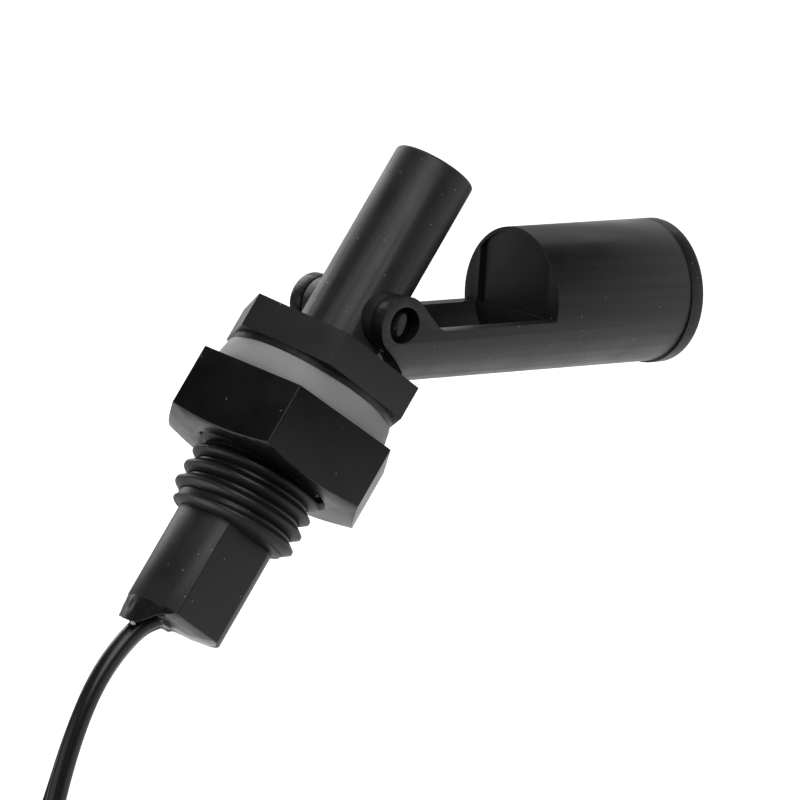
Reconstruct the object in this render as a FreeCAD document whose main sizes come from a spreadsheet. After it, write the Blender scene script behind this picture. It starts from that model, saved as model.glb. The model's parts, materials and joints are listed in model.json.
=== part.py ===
"""Side-mounted float level switch: a reed switch tube with a hinged float arm.

Millimetres. X runs along the sensor tube into the tank, Z is up, and the origin is the
centre of the sealing face under the hexagon head. The float arm swings about Y and is
drawn at its lower stop, resting on the head. The two leads leave at the -X end.
"""
import FreeCAD, Part
import math
import os

import Sketcher

DOC = FreeCAD.newDocument("FloatSwitch")
V = FreeCAD.Vector
X_AXIS = V(1, 0, 0)
Y_AXIS = V(0, 1, 0)


# ---------------------------------------------------------------- driving dimensions
DIMENSIONS = {
    # sensor tube and its bore
    "tube_dia": 10.0,
    "tube_len": 24.6,
    "tip_round": 0.4,
    "tip_wall": 1.9,
    "tube_wall": 1.8,
    # hexagon head and the round collar that presses on the gasket
    "head_flats": 21.05,
    "head_thick": 4.15,
    "collar_dia": 20.8,
    "collar_thick": 0.75,
    "flats_turn": -5.0,
    # mounting thread and the stem behind it
    "thread_dia": 15.85,
    "thread_pitch": 2.0,
    "thread_depth": 1.1,
    "thread_crest": 0.4,
    "thread_len": 19.1,
    "thread_phase": 0.25,
    "stem_dia": 11.95,
    "stem_len": 12.4,
    "stem_bore": 8.2,
    "stem_flat_cut": 1.0,
    "bore_step": 26.5,
    # hinge
    "pivot_along": 10.2,
    "pivot_drop": 0.9,
    "pin_dia": 4.2,
    "pin_clearance": 0.05,
    "pin_recess": 0.55,
    "pin_land": 1.3,
    "pin_ramp": 1.3,
    "boss_dia": 6.6,
    "rest_angle": 55.9,
    "side_clearance": 0.25,
    # float arm
    "float_dia": 17.0,
    "arm_wall": 1.9,
    "ear_radius": 3.35,
    "ear_slope": 46.5,
    "neck_round": 2.6,
    "axis_rise": 0.36,
    "wall_top": 0.98,
    "arm_rear": 2.7,
    "arm_rear_top": 6.3,
    "rim_along": 22.95,
    "shell_end": 43.7,
    "shell_wall": 1.1,
    "recess_depth": 0.7,
    "recess_half": 6.1,
    "recess_lip": 0.4,
    "front_wall": 1.6,
    # float end cap
    "cap_thick": 2.0,
    "cap_lip": 0.12,
    "cap_drop": 0.12,
    "cap_round": 0.45,
    "spigot_len": 1.6,
    "press_gap": 0.03,
    # magnet
    "magnet_dia": 6.0,
    "magnet_len": 4.0,
    "seat_wall": 1.1,
    # nut and gasket
    "nut_flats": 24.1,
    "nut_height": 8.2,
    "nut_turn": -12.3,
    "nut_chamfer_dia": 23.2,
    "nut_chamfer_angle": 17.0,
    "nut_lead_in": 0.55,
    "thread_clearance": 0.06,
    "gasket_thick": 3.35,
    "gasket_top_dia": 21.1,
    "gasket_low_dia": 21.8,
    # reed switch
    "glass_dia": 2.2,
    "glass_len": 14.0,
    "glass_tip_gap": 2.0,
    "blade_width": 1.2,
    "blade_thick": 0.3,
    "blade_overlap": 1.2,
    "blade_gap": 0.16,
    "glass_seal": 2.0,
    "glass_wall": 0.3,
    "reed_lead_dia": 0.6,
    "cushion_wall": 0.45,
    "leg_offset": 1.9,
    # leads, splices and potting
    "wire_dia": 2.25,
    "core_dia": 1.0,
    "strip_len": 6.0,
    "wire_gap": 0.12,
    "pair_angle": 50.4,
    "splice_dia": 1.3,
    "splice_len": 4.0,
    "splice_at": -12.5,
    "sleeve_dia": 3.2,
    "sleeve_len": 8.0,
    "lead_joint": -25.5,
    "potting_recess": 0.6,
    "potting_len": 11.0,
    "spill_height": 2.5,
    "spill_wall": 0.8,
    "spill_film": 0.3,
    "spill_angle": 62.0,
    "spill_spread": 114.0,
    # put-away coil of the leads
    "coil_radius": 12.6,
    "coil_turns": 3.0,
    "coil_x": -52.0,
    "coil_z": -40.0,
    "tie_width": 3.0,
    "tie_thick": 0.9,
    "tie_gap": 0.15,
}


def fill_sheet():
    """Write every driving dimension to the sheet, one row each."""
    sheet = DOC.addObject("Spreadsheet::Sheet", "Sizes")
    for row, (alias, value) in enumerate(DIMENSIONS.items(), start=1):
        sheet.set(f"A{row}", alias)
        sheet.set(f"B{row}", str(value))
        sheet.setAlias(f"B{row}", alias)
    DOC.recompute()
    return sheet


SHEET = fill_sheet()


class Size:
    """A number together with the sheet expression that gives it."""

    def __init__(self, value, text):
        self.value = value
        self.text = text

    def _join(self, other, sign, result, swap=False):
        text = other.text if isinstance(other, Size) else repr(float(other))
        pair = (text, self.text) if swap else (self.text, text)
        return Size(result, f"({pair[0]} {sign} {pair[1]})")

    def __add__(self, other):
        return self._join(other, "+", self.value + number(other))

    def __radd__(self, other):
        return self._join(other, "+", number(other) + self.value, swap=True)

    def __sub__(self, other):
        return self._join(other, "-", self.value - number(other))

    def __rsub__(self, other):
        return self._join(other, "-", number(other) - self.value, swap=True)

    def __mul__(self, other):
        return self._join(other, "*", self.value * number(other))

    def __rmul__(self, other):
        return self._join(other, "*", number(other) * self.value, swap=True)

    def __truediv__(self, other):
        return self._join(other, "/", self.value / number(other))

    def __neg__(self):
        return Size(-self.value, f"(0 - {self.text})")


def number(item):
    return item.value if isinstance(item, Size) else float(item)


def size(alias):
    """The size that the sheet keeps under this alias."""
    return Size(float(getattr(SHEET, alias)), f"Sizes.{alias}")


def sine(angle):
    return Size(math.sin(math.radians(angle.value)), f"sin({angle.text})")


def cosine(angle):
    return Size(math.cos(math.radians(angle.value)), f"cos({angle.text})")


def tangent(angle):
    return Size(math.tan(math.radians(angle.value)), f"tan({angle.text})")


def bind(thing, path, value):
    """Bind one property of an object to the sheet."""
    if isinstance(value, Size):
        thing.setExpression(path, value.text)
    else:
        setattr(thing, path, value)


# ---------------------------------------------------------------- modelling helpers
def new_body(label):
    body = DOC.addObject("PartDesign::Body", label)
    body.Label = label
    DOC.recompute()
    return body


def new_sketch(body, plane, lift=None):
    """A sketch on one of the body's origin planes, lifted along the plane's normal."""
    planes = {item.Role: item for item in body.Origin.OriginFeatures}
    sketch = body.newObject("Sketcher::SketchObject", body.Name + "Sketch")
    sketch.AttachmentSupport = (planes[plane], [""])
    sketch.MapMode = "FlatFace"
    if lift is not None:
        bind(sketch, "AttachmentOffset.Base.z", lift)
    return sketch


def pin_point(sketch, geometry, point, x, y):
    """Hold one point of a sketch at two sizes from the sketch's origin."""
    for kind, axis, value in (("DistanceX", -2, x), ("DistanceY", -1, y)):
        if not isinstance(value, Size) and value == 0:
            sketch.addConstraint(Sketcher.Constraint("PointOnObject", geometry, point, axis))
            continue
        where = Sketcher.Constraint(kind, -1, 1, geometry, point, number(value))
        index = sketch.addConstraint(where)
        if isinstance(value, Size):
            sketch.setExpression(f"Constraints[{index}]", value.text)


def outline(sketch, points):
    """A closed outline of straight edges, every corner held by its own two sizes."""
    first = sketch.GeometryCount
    count = len(points)
    for index, (x, y) in enumerate(points):
        next_x, next_y = points[(index + 1) % count]
        start = V(number(x), number(y), 0)
        end = V(number(next_x), number(next_y), 0)
        sketch.addGeometry(Part.LineSegment(start, end), False)
    for index in range(count):
        after = first + (index + 1) % count
        sketch.addConstraint(Sketcher.Constraint("Coincident", first + index, 2, after, 1))
    for index, (x, y) in enumerate(points):
        pin_point(sketch, first + index, 1, x, y)


def circle(sketch, x, y, radius):
    middle = V(number(x), number(y), 0)
    ring = Part.Circle(middle, V(0, 0, 1), number(radius))
    geometry = sketch.addGeometry(ring, False)
    pin_point(sketch, geometry, 3, x, y)
    limit = Sketcher.Constraint("Radius", geometry, number(radius))
    index = sketch.addConstraint(limit)
    sketch.setExpression(f"Constraints[{index}]", radius.text)


def hexagon(sketch, flats, turn):
    """A regular hexagon about the sketch's origin, one flat square to the turned X axis."""
    radius = flats / math.sqrt(3)
    corners = []
    for step in range(6):
        angle = turn + (60.0 * step + 30.0)
        corners.append((radius * cosine(angle), radius * sine(angle)))
    outline(sketch, corners)


def feature(body, kind, sketch, **sizes):
    """Add one PartDesign feature, bind its sizes and check that it changed the body."""
    before = body.Shape.Volume if not body.Shape.isNull() else 0.0
    item = body.newObject("PartDesign::" + kind, body.Name + kind)
    item.Profile = sketch
    for path, value in sizes.items():
        bind(item, path, value)
    DOC.recompute()
    if abs(item.Shape.Volume - before) < 1e-4:
        raise RuntimeError(f"{body.Label}: {item.Name} changes nothing")
    return item


def revolve(body, sketch, kind="Revolution"):
    return feature(body, kind, sketch, ReferenceAxis=(sketch, ["H_Axis"]), Angle=360.0)


def edges_at(shape, test):
    """Names of the edges of a shape that pass a test."""
    return [f"Edge{n}" for n, edge in enumerate(shape.Edges, start=1) if test(edge)]


def soften(body, base, kind, test, value):
    """Round or chamfer the edges of a feature that pass the test."""
    names = edges_at(base.Shape, test)
    if not names:
        raise RuntimeError(f"{body.Label}: no edge to soften")
    item = body.newObject("PartDesign::" + kind, body.Name + kind)
    item.Base = (base, names)
    bind(item, "Radius" if kind == "Fillet" else "Size", value)
    DOC.recompute()
    return item


def is_ring(edge, radius, along=None):
    """Is this edge a full circle about the X axis, of this radius and place?"""
    curve = edge.Curve
    if not isinstance(curve, Part.Circle) or abs(abs(curve.Axis.x) - 1) > 1e-6:
        return False
    if abs(curve.Radius - radius) > 1e-4 or edge.Length < 6.0 * radius:
        return False
    return along is None or abs(curve.Center.x - along) < 1e-4


def place(body, x=0.0, y=0.0, z=0.0):
    for axis, value in (("x", x), ("y", y), ("z", z)):
        if isinstance(value, Size):
            body.setExpression(f"Placement.Base.{axis}", value.text)
        elif value:
            raise ValueError("a place is a size or zero")


# ---------------------------------------------------------------- named levels along X
tube_r = size("tube_dia") / 2
head_top = size("collar_thick") + size("head_thick")
tip_x = head_top + size("tube_len")
glass_start = tip_x - size("tip_wall") - size("glass_tip_gap") - size("glass_len")
thread_r = size("thread_dia") / 2
stem_r = size("stem_dia") / 2
stem_bore_r = size("stem_bore") / 2
stem_end = -(size("thread_len") + size("stem_len"))
narrow_r = tube_r - size("tube_wall")
bore_step_x = stem_end + size("bore_step")
pin_r = size("pin_dia") / 2
float_r = size("float_dia") / 2
channel_r = float_r - size("arm_wall")
pivot_x = size("pivot_along")
pivot_z = -size("pivot_drop")
pin_end = float_r - size("pin_recess")


# ---------------------------------------------------------------- moulded sensor body
def sensor_body():
    """Tube, head, thread, stem and hinge pins, moulded in one piece."""
    body = new_body("sensor_body")
    profile = new_sketch(body, "XZ_Plane")
    root_r = thread_r - size("thread_depth")
    thread_end = -size("thread_len")
    bore_taper = bore_step_x + (stem_bore_r - narrow_r)
    outline(profile, [
        (stem_end, stem_bore_r),
        (stem_end, stem_r),
        (thread_end, stem_r),
        (thread_end, root_r),
        (thread_end + size("thread_depth"), thread_r),
        (0, thread_r),
        (0, size("collar_dia") / 2),
        (size("collar_thick"), size("collar_dia") / 2),
        (size("collar_thick"), tube_r),
        (tip_x, tube_r),
        (tip_x, 0),
        (tip_x - size("tip_wall"), 0),
        (tip_x - size("tip_wall"), narrow_r),
        (bore_taper, narrow_r),
        (bore_step_x, stem_bore_r),
    ])
    turned = revolve(body, profile)
    soften(body, turned, "Fillet",
           lambda edge: is_ring(edge, tube_r.value, tip_x.value), size("tip_round"))

    head = new_sketch(body, "YZ_Plane", size("collar_thick"))
    hexagon(head, size("head_flats"), size("flats_turn"))
    circle(head, 0, 0, tube_r)
    feature(body, "Pad", head, Length=size("head_thick"))

    cut_thread(body, thread_end)
    cut_stem_flat(body)
    add_hinge_pins(body)
    return body


def cut_thread(body, thread_end):
    """Cut the helical groove from past the thread's end up to the sealing face."""
    groove = new_sketch(body, "XZ_Plane")
    pitch = size("thread_pitch")
    middle = thread_end - pitch * (1 + size("thread_phase"))
    mouth = (pitch - size("thread_crest")) / 2
    root = mouth - size("thread_depth") * math.tan(math.radians(30.0))
    clear_r = thread_r + 0.2
    flare = 0.2 * math.tan(math.radians(30.0))
    root_r = thread_r - size("thread_depth")
    outline(groove, [
        (middle - (mouth + flare), clear_r),
        (middle - root, root_r),
        (middle + root, root_r),
        (middle + (mouth + flare), clear_r),
    ])
    turns = size("thread_len") + pitch * 0.75
    feature(body, "SubtractiveHelix", groove, ReferenceAxis=(groove, ["H_Axis"]),
            Mode=0, Pitch=pitch, Height=turns, LeftHanded=False, Reversed=False)


def cut_stem_flat(body):
    """Mill one flat along the stem, lined up with a flat of the head."""
    flat = new_sketch(body, "YZ_Plane", stem_end)
    turn = size("flats_turn")
    inner = stem_r - size("stem_flat_cut")
    outer = stem_r + 1.0
    across = stem_r + 1.0
    corners = []
    for radial, side in ((inner, -across), (outer, -across), (outer, across), (inner, across)):
        corners.append((radial * cosine(turn + 180.0) - side * sine(turn + 180.0),
                        radial * sine(turn + 180.0) + side * cosine(turn + 180.0)))
    outline(flat, corners)
    feature(body, "Pocket", flat, Type=0, Length=size("stem_len"), Reversed=True)


def add_hinge_pins(body):
    """Bosses and ramp-ended pins on both sides of the tube, clear of its bore."""
    for radius, reach in ((size("boss_dia") / 2, channel_r - size("side_clearance")),
                          (pin_r, pin_end)):
        sketch = new_sketch(body, "XZ_Plane")
        circle(sketch, pivot_x, pivot_z, radius)
        feature(body, "Pad", sketch, Length=reach * 2, Midplane=True)
    bore = new_sketch(body, "YZ_Plane", bore_step_x + (stem_bore_r - narrow_r))
    circle(bore, 0, 0, narrow_r)
    span = tip_x - size("tip_wall") - bore_step_x - (stem_bore_r - narrow_r)
    feature(body, "Pocket", bore, Type=0, Length=span, Reversed=True)

    ramps = new_sketch(body, "YZ_Plane", pivot_x)
    half_land = size("pin_land") / 2
    over = pin_r + 0.2
    for side in (-1.0, 1.0):
        for way in (-1.0, 1.0):
            outline(ramps, [
                (side * (pin_end + 0.1), pivot_z + way * half_land),
                (side * (pin_end + 0.1), pivot_z + way * over),
                (side * (pin_end - size("pin_ramp")), pivot_z + way * over),
            ])
    feature(body, "Pocket", ramps, Type=0, Length=size("pin_dia") + 1.0, Midplane=True)


# ---------------------------------------------------------------- nut and gasket
def lock_nut():
    """Hexagon nut, chamfered on its cable side, with a plain lead-in to its bore."""
    body = new_body("lock_nut")
    height = size("nut_height")
    bore_r = thread_r + size("thread_clearance")
    base = new_sketch(body, "YZ_Plane")
    hexagon(base, size("nut_flats"), size("nut_turn"))
    circle(base, 0, 0, bore_r)
    feature(body, "Pad", base, Length=height)

    chamfer_r = size("nut_chamfer_dia") / 2
    outer_r = size("nut_flats") * 0.6
    rise = (outer_r - chamfer_r) * tangent(size("nut_chamfer_angle"))
    corner_cut = new_sketch(body, "XZ_Plane")
    outline(corner_cut, [(0, chamfer_r), (rise, outer_r), (-rise, outer_r)])
    revolve(body, corner_cut, "Groove")

    lead_in = new_sketch(body, "XZ_Plane")
    outline(lead_in, [
        (0, bore_r + size("nut_lead_in")),
        (size("nut_lead_in"), bore_r),
        (size("nut_lead_in"), bore_r - 0.5),
        (0, bore_r - 0.5),
    ])
    revolve(body, lead_in, "Groove")
    place(body, x=-(size("gasket_thick") + height))
    return body


def sealing_gasket():
    """Silicone washer squeezed between the collar and the nut."""
    body = new_body("sealing_gasket")
    profile = new_sketch(body, "XZ_Plane")
    thick = size("gasket_thick")
    inner = thread_r + size("thread_clearance")
    low_r = size("gasket_low_dia") / 2
    top_r = size("gasket_top_dia") / 2
    edge = 0.3
    outline(profile, [
        (0, inner),
        (0, low_r - edge / 2),
        (edge, low_r),
        (thick / 2, (low_r + top_r) / 2 + edge / 3),
        (thick - edge, top_r),
        (thick, top_r - edge / 2),
        (thick, inner),
    ])
    revolve(body, profile)
    place(body, x=-thick)
    return body


# ---------------------------------------------------------------- float arm
def float_arm():
    """Ears, trough and hollow float, moulded in one; local X runs from the hinge to the float."""
    body = new_body("float_arm")
    rise = size("axis_rise")
    rim = size("rim_along")
    ear_r = size("ear_radius")

    section = new_sketch(body, "YZ_Plane", -ear_r)
    cradle_section(section, float_r, rise, ear_r)
    feature(body, "Pad", section, Length=rim + ear_r)

    shell = new_sketch(body, "YZ_Plane", rim)
    circle(shell, 0, rise, float_r)
    feature(body, "Pad", shell, Length=size("shell_end") - rim)

    side = new_sketch(body, "XZ_Plane")
    trim_outline(side, rim, ear_r)
    feature(body, "Pocket", side, Type=0, Length=size("float_dia") + 2.0, Midplane=True)

    channel = new_sketch(body, "YZ_Plane", rim)
    cradle_section(channel, channel_r, rise, ear_r + 1.0)
    feature(body, "Pocket", channel, Type=0, Length=rim + ear_r + 1.0, Reversed=False)

    recess = new_sketch(body, "YZ_Plane", rim + size("recess_depth"))
    recess_outline(recess, rise)
    feature(body, "Pocket", recess, Type=0, Length=size("recess_depth") + 1.0, Reversed=False)

    hollow = new_sketch(body, "XZ_Plane")
    hollow_outline(hollow, rise, rim)
    feature(body, "Groove", hollow, ReferenceAxis=(hollow, ["Axis0"]), Angle=360.0)

    boss_seat = new_sketch(body, "XZ_Plane")
    circle(boss_seat, 0, 0, size("boss_dia") / 2 + size("side_clearance"))
    feature(body, "Pocket", boss_seat, Type=0, Length=channel_r * 2, Midplane=True)

    holes = new_sketch(body, "XZ_Plane")
    circle(holes, 0, 0, pin_r + size("pin_clearance"))
    feature(body, "Pocket", holes, Type=0, Length=size("float_dia") + 2.0, Midplane=True)
    rest_on_stop(body)
    return body


def rest_on_stop(body):
    """Set an arm piece at the hinge, turned down to the lower stop."""
    body.Placement = FreeCAD.Placement(V(), FreeCAD.Rotation(Y_AXIS, size("rest_angle").value))
    body.setExpression("Placement.Rotation.Angle", size("rest_angle").text)
    place(body, x=pivot_x, z=pivot_z)


def cradle_section(sketch, radius, rise, top):
    """A half circle with straight sides up to a level top, open to nothing below."""
    start = sketch.GeometryCount
    middle = V(0, rise.value, 0)
    left = V(-radius.value, rise.value, 0)
    right = V(radius.value, rise.value, 0)
    bowl = Part.ArcOfCircle(Part.Circle(middle, V(0, 0, 1), radius.value), math.pi, 2 * math.pi)
    sketch.addGeometry(bowl, False)
    left_top = V(left.x, number(top), 0)
    right_top = V(right.x, number(top), 0)
    for begin, end in ((right, right_top), (right_top, left_top), (left_top, left)):
        sketch.addGeometry(Part.LineSegment(begin, end), False)
    pin_point(sketch, start, 3, 0, rise)
    for item, point, other in ((0, 2, 1), (1, 2, 2), (2, 2, 3), (3, 2, 0)):
        sketch.addConstraint(Sketcher.Constraint("Coincident", start + item, point, start + other, 1))
    limit = sketch.addConstraint(Sketcher.Constraint("Radius", start, radius.value))
    sketch.setExpression(f"Constraints[{limit}]", radius.text)
    for point in (1, 2):
        level = Sketcher.Constraint("DistanceY", -1, 1, start, point, rise.value)
        index = sketch.addConstraint(level)
        sketch.setExpression(f"Constraints[{index}]", rise.text)
    sketch.addConstraint(Sketcher.Constraint("Vertical", start + 1))
    sketch.addConstraint(Sketcher.Constraint("Vertical", start + 3))
    sketch.addConstraint(Sketcher.Constraint("Horizontal", start + 2))
    height = sketch.addConstraint(Sketcher.Constraint("DistanceY", -1, 1, start + 2, 1, number(top)))
    sketch.setExpression(f"Constraints[{height}]", top.text)


def trim_outline(sketch, rim, ear_r):
    """What is cut away beside the ears: over the trough, round the ear and behind the arm."""
    slope = math.radians(size("ear_slope").value)
    wall_top = -size("wall_top")
    round_r = size("neck_round")
    top = float_r + 4.0
    back = -(ear_r + 2.0)
    low = -(float_r + 2.0)
    rear = size("arm_rear")
    rear_top = -size("arm_rear_top")

    touch = V(ear_r.value * math.sin(slope), ear_r.value * math.cos(slope), 0)
    run = V(math.cos(slope), -math.sin(slope), 0)
    corner = touch + run * ((touch.y - wall_top.value) / math.sin(slope))
    trim = round_r.value * math.tan(slope / 2)
    neck_low = corner + V(trim, 0, 0)
    neck_high = corner - run * trim
    neck_middle = neck_low + V(0, round_r.value, 0)
    foot = V(rear.value, rear_top.value, 0)
    reach = foot.Length
    swing = math.atan2(foot.y, foot.x) - math.acos(ear_r.value / reach)
    ear_back = V(ear_r.value * math.cos(swing), ear_r.value * math.sin(swing), 0)

    def arc(middle, begin, end):
        round_edge = Part.Circle(middle, V(0, 0, 1), (begin - middle).Length)
        first = math.atan2(begin.y - middle.y, begin.x - middle.x)
        last = math.atan2(end.y - middle.y, end.x - middle.x)
        return Part.ArcOfCircle(round_edge, first, last + (2 * math.pi if last < first else 0))

    corners = [V(rim.value, top.value, 0), V(rim.value, wall_top.value, 0)]
    edges = [
        Part.LineSegment(corners[0], corners[1]),
        Part.LineSegment(corners[1], neck_low),
        arc(neck_middle, neck_high, neck_low),
        Part.LineSegment(neck_high, touch),
        arc(V(), touch, ear_back),
        Part.LineSegment(ear_back, foot),
        Part.LineSegment(foot, V(rear.value, low.value, 0)),
        Part.LineSegment(V(rear.value, low.value, 0), V(back.value, low.value, 0)),
        Part.LineSegment(V(back.value, low.value, 0), V(back.value, top.value, 0)),
        Part.LineSegment(V(back.value, top.value, 0), corners[0]),
    ]
    for edge in edges:
        sketch.addGeometry(edge, False)
    joins = ((0, 2, 1, 1), (5, 2, 6, 1), (6, 2, 7, 1), (7, 2, 8, 1), (8, 2, 9, 1), (9, 2, 0, 1))
    for first, first_end, second, second_end in joins:
        link = Sketcher.Constraint("Coincident", first, first_end, second, second_end)
        sketch.addConstraint(link)
    for first, first_end, second, second_end in ((1, 2, 2, 2), (2, 1, 3, 1), (3, 2, 4, 1), (4, 2, 5, 1)):
        smooth = Sketcher.Constraint("Tangent", first, first_end, second, second_end)
        sketch.addConstraint(smooth)
    sketch.addConstraint(Sketcher.Constraint("Coincident", 4, 3, -1, 1))
    for geometry, radius in ((4, ear_r), (2, round_r)):
        index = sketch.addConstraint(Sketcher.Constraint("Radius", geometry, radius.value))
        sketch.setExpression(f"Constraints[{index}]", radius.text)
    lean = 180.0 - size("ear_slope")
    index = sketch.addConstraint(Sketcher.Constraint("Angle", 3, math.radians(lean.value)))
    sketch.setExpression(f"Constraints[{index}]", f"{lean.text} * 1 deg")
    sketch.addConstraint(Sketcher.Constraint("Horizontal", 1))
    pin_point(sketch, 0, 1, rim, top)
    pin_point(sketch, 0, 2, rim, wall_top)
    pin_point(sketch, 5, 2, rear, rear_top)
    pin_point(sketch, 7, 1, rear, low)
    pin_point(sketch, 8, 1, back, low)
    pin_point(sketch, 9, 1, back, top)


def recess_outline(sketch, rise):
    """The float's sunk front panel: flat sides, round top, cut level with the trough."""
    half = size("recess_half")
    radius = float_r - size("recess_lip")
    level = -size("wall_top")
    middle = V(0, rise.value, 0)
    lift = math.sqrt(radius.value ** 2 - half.value ** 2)
    right = V(half.value, rise.value + lift, 0)
    left = V(-half.value, rise.value + lift, 0)
    low_right = V(half.value, level.value, 0)
    low_left = V(-half.value, level.value, 0)
    first = math.atan2(lift, half.value)
    crown = Part.ArcOfCircle(Part.Circle(middle, V(0, 0, 1), radius.value), first, math.pi - first)
    sketch.addGeometry(crown, False)
    for begin, end in ((left, low_left), (low_left, low_right), (low_right, right)):
        sketch.addGeometry(Part.LineSegment(begin, end), False)
    for item, other in ((0, 1), (1, 2), (2, 3), (3, 0)):
        sketch.addConstraint(Sketcher.Constraint("Coincident", item, 2, other, 1))
    pin_point(sketch, 0, 3, 0, rise)
    index = sketch.addConstraint(Sketcher.Constraint("Radius", 0, radius.value))
    sketch.setExpression(f"Constraints[{index}]", radius.text)
    pin_point(sketch, 2, 1, -half, level)
    pin_point(sketch, 3, 1, half, level)
    sketch.addConstraint(Sketcher.Constraint("Vertical", 1))
    sketch.addConstraint(Sketcher.Constraint("Vertical", 3))


def hollow_outline(sketch, rise, rim):
    """Half section of the air space, which leaves a ring standing round the magnet."""
    inner_r = float_r - size("shell_wall")
    wall_back = rim + size("recess_depth") + size("front_wall")
    seat_end = wall_back + size("magnet_len") + 0.4
    seat_in = size("magnet_dia") / 2 + size("press_gap")
    seat_out = seat_in + size("seat_wall")
    outline(sketch, [
        (wall_back, rise),
        (size("shell_end"), rise),
        (size("shell_end"), rise + inner_r),
        (wall_back, rise + inner_r),
        (wall_back, rise + seat_out),
        (seat_end, rise + seat_out),
        (seat_end, rise + seat_in),
        (wall_back, rise + seat_in),
    ])
    start = V(wall_back.value, rise.value, 0)
    axis = sketch.addGeometry(Part.LineSegment(start, start + V(10, 0, 0)), True)
    sketch.addConstraint(Sketcher.Constraint("Horizontal", axis))
    pin_point(sketch, axis, 1, wall_back, rise)
    far = sketch.addConstraint(Sketcher.Constraint("DistanceX", -1, 1, axis, 2, start.x + 10))
    sketch.setExpression(f"Constraints[{far}]", (wall_back + 10.0).text)


def float_end_cap():
    """Welded lid of the float, a little proud of the shell and set a touch low."""
    body = new_body("float_end_cap")
    cap_r = float_r + size("cap_lip")
    spigot_r = float_r - size("shell_wall") - size("press_gap")
    thick = size("cap_thick")
    inner_r = spigot_r - 1.2
    middle = size("axis_rise") - size("cap_drop")
    disc = new_sketch(body, "YZ_Plane", size("shell_end"))
    circle(disc, 0, middle, cap_r)
    pad = feature(body, "Pad", disc, Length=thick)
    soften(body, pad, "Fillet",
           lambda edge: is_ring(edge, cap_r.value, size("shell_end").value + thick.value),
           size("cap_round"))
    spigot = new_sketch(body, "YZ_Plane", size("shell_end"))
    circle(spigot, 0, size("axis_rise"), spigot_r)
    circle(spigot, 0, size("axis_rise"), inner_r)
    feature(body, "Pad", spigot, Length=size("spigot_len"), Reversed=True)
    rest_on_stop(body)
    return body


def arm_magnet():
    """Round bar magnet pressed into the ring behind the float's front panel."""
    body = new_body("arm_magnet")
    start = size("rim_along") + size("recess_depth") + size("front_wall")
    sketch = new_sketch(body, "YZ_Plane", start)
    circle(sketch, 0, size("axis_rise"), size("magnet_dia") / 2)
    feature(body, "Pad", sketch, Length=size("magnet_len"))
    rest_on_stop(body)
    return body


# ---------------------------------------------------------------- turned and round pieces
def turned(label, points):
    """A body turned about X from one outline of places along X and radii."""
    body = new_body(label)
    profile = new_sketch(body, "XZ_Plane")
    outline(profile, points)
    revolve(body, profile)
    return body


def to_lane(body, side):
    """Shift a turned body out to one lead's lane inside the stem."""
    out = size("leg_offset") * side
    along = size("splice_at")
    place(body, x=along, y=-(out * sine(size("pair_angle"))), z=out * cosine(size("pair_angle")))


# ---------------------------------------------------------------- wires of every kind
def bent_wire(label, points, radius, bend=None):
    """A round wire along straight runs joined by arcs that touch both runs.

    Without a bend radius, every arc is as large as its two runs allow.
    """
    edges = []
    begin = points[0]
    for before, corner, after in zip(points, points[1:], points[2:]):
        into = (corner - before).normalize()
        out = (after - corner).normalize()
        turn = math.acos(max(-1.0, min(1.0, into.dot(out))))
        shorter = min((corner - before).Length, (after - corner).Length)
        arc_r = bend if bend else 0.45 * shorter / math.tan(turn / 2)
        setback = arc_r * math.tan(turn / 2)
        first = corner - into * setback
        last = corner + out * setback
        inward = (out - into).normalize()
        middle = corner + inward * (math.hypot(arc_r, setback) - arc_r)
        edges.append(Part.LineSegment(begin, first).toShape())
        edges.append(Part.Arc(first, middle, last).toShape())
        begin = last
        print(f"{label}: turn {math.degrees(turn):.0f} degrees, radius {arc_r:.1f}")
    edges.append(Part.LineSegment(begin, points[-1]).toShape())
    path = Part.Wire(edges)
    start = Part.Circle(points[0], points[1] - points[0], radius)
    pipe = path.makePipe(Part.Face(Part.Wire([start.toShape()])))
    share = pipe.Volume / (math.pi * radius ** 2 * path.Length)
    if not pipe.isValid() or abs(share - 1) > 0.01:
        raise RuntimeError(f"{label}: the wire's solid is wrong")
    print(f"{label}: {path.Length:.1f} mm long, volume over section times length {share:.4f}")
    return pipe


def free_shape(label, shape):
    """A sub-part whose shape is set directly, because it follows a bent path."""
    item = DOC.addObject("Part::Feature", label)
    item.Label = label
    item.Shape = shape
    item.Placement = FreeCAD.Placement()
    return item


def val(alias):
    return size(alias).value


# Across the stem, PAIR_OUT points to the side where the leads come out, and PAIR_SIDE runs
# from the far lead to the near one.
PAIR_OUT = V(0, math.cos(math.radians(val("pair_angle"))), math.sin(math.radians(val("pair_angle"))))
PAIR_SIDE = V(0, -PAIR_OUT.z, PAIR_OUT.y)
HALF_PAIR = (val("wire_dia") + val("wire_gap")) / 2
SIDES = (("near", 1.0), ("far", -1.0))


def pair_point(along, out, apart, side):
    """A point on one lead, from its place along X and its two offsets across the stem."""
    return V(along, 0, 0) + PAIR_OUT * out + PAIR_SIDE * (side * apart)


def side_way(turned_share, side):
    """Half the pair's spacing, turning from the stem's pair direction to the coil's -Y."""
    start = val("pair_angle") + 90.0
    angle = math.radians(start + turned_share * (180.0 - start))
    return V(0, math.cos(angle), math.sin(angle)) * (side * HALF_PAIR)


def inner_route(side):
    """From the splice to the joint inside the potting."""
    begin = val("splice_at") - val("splice_len") / 2 - 1.0
    joint = val("lead_joint")
    lane = val("leg_offset")
    return [
        pair_point(begin, 0, lane, side),
        pair_point(begin - 3.5, 0, lane, side),
        pair_point(joint + 3.0, -1.3, HALF_PAIR, side),
        pair_point(joint, -1.3, HALF_PAIR, side),
    ]


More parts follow.
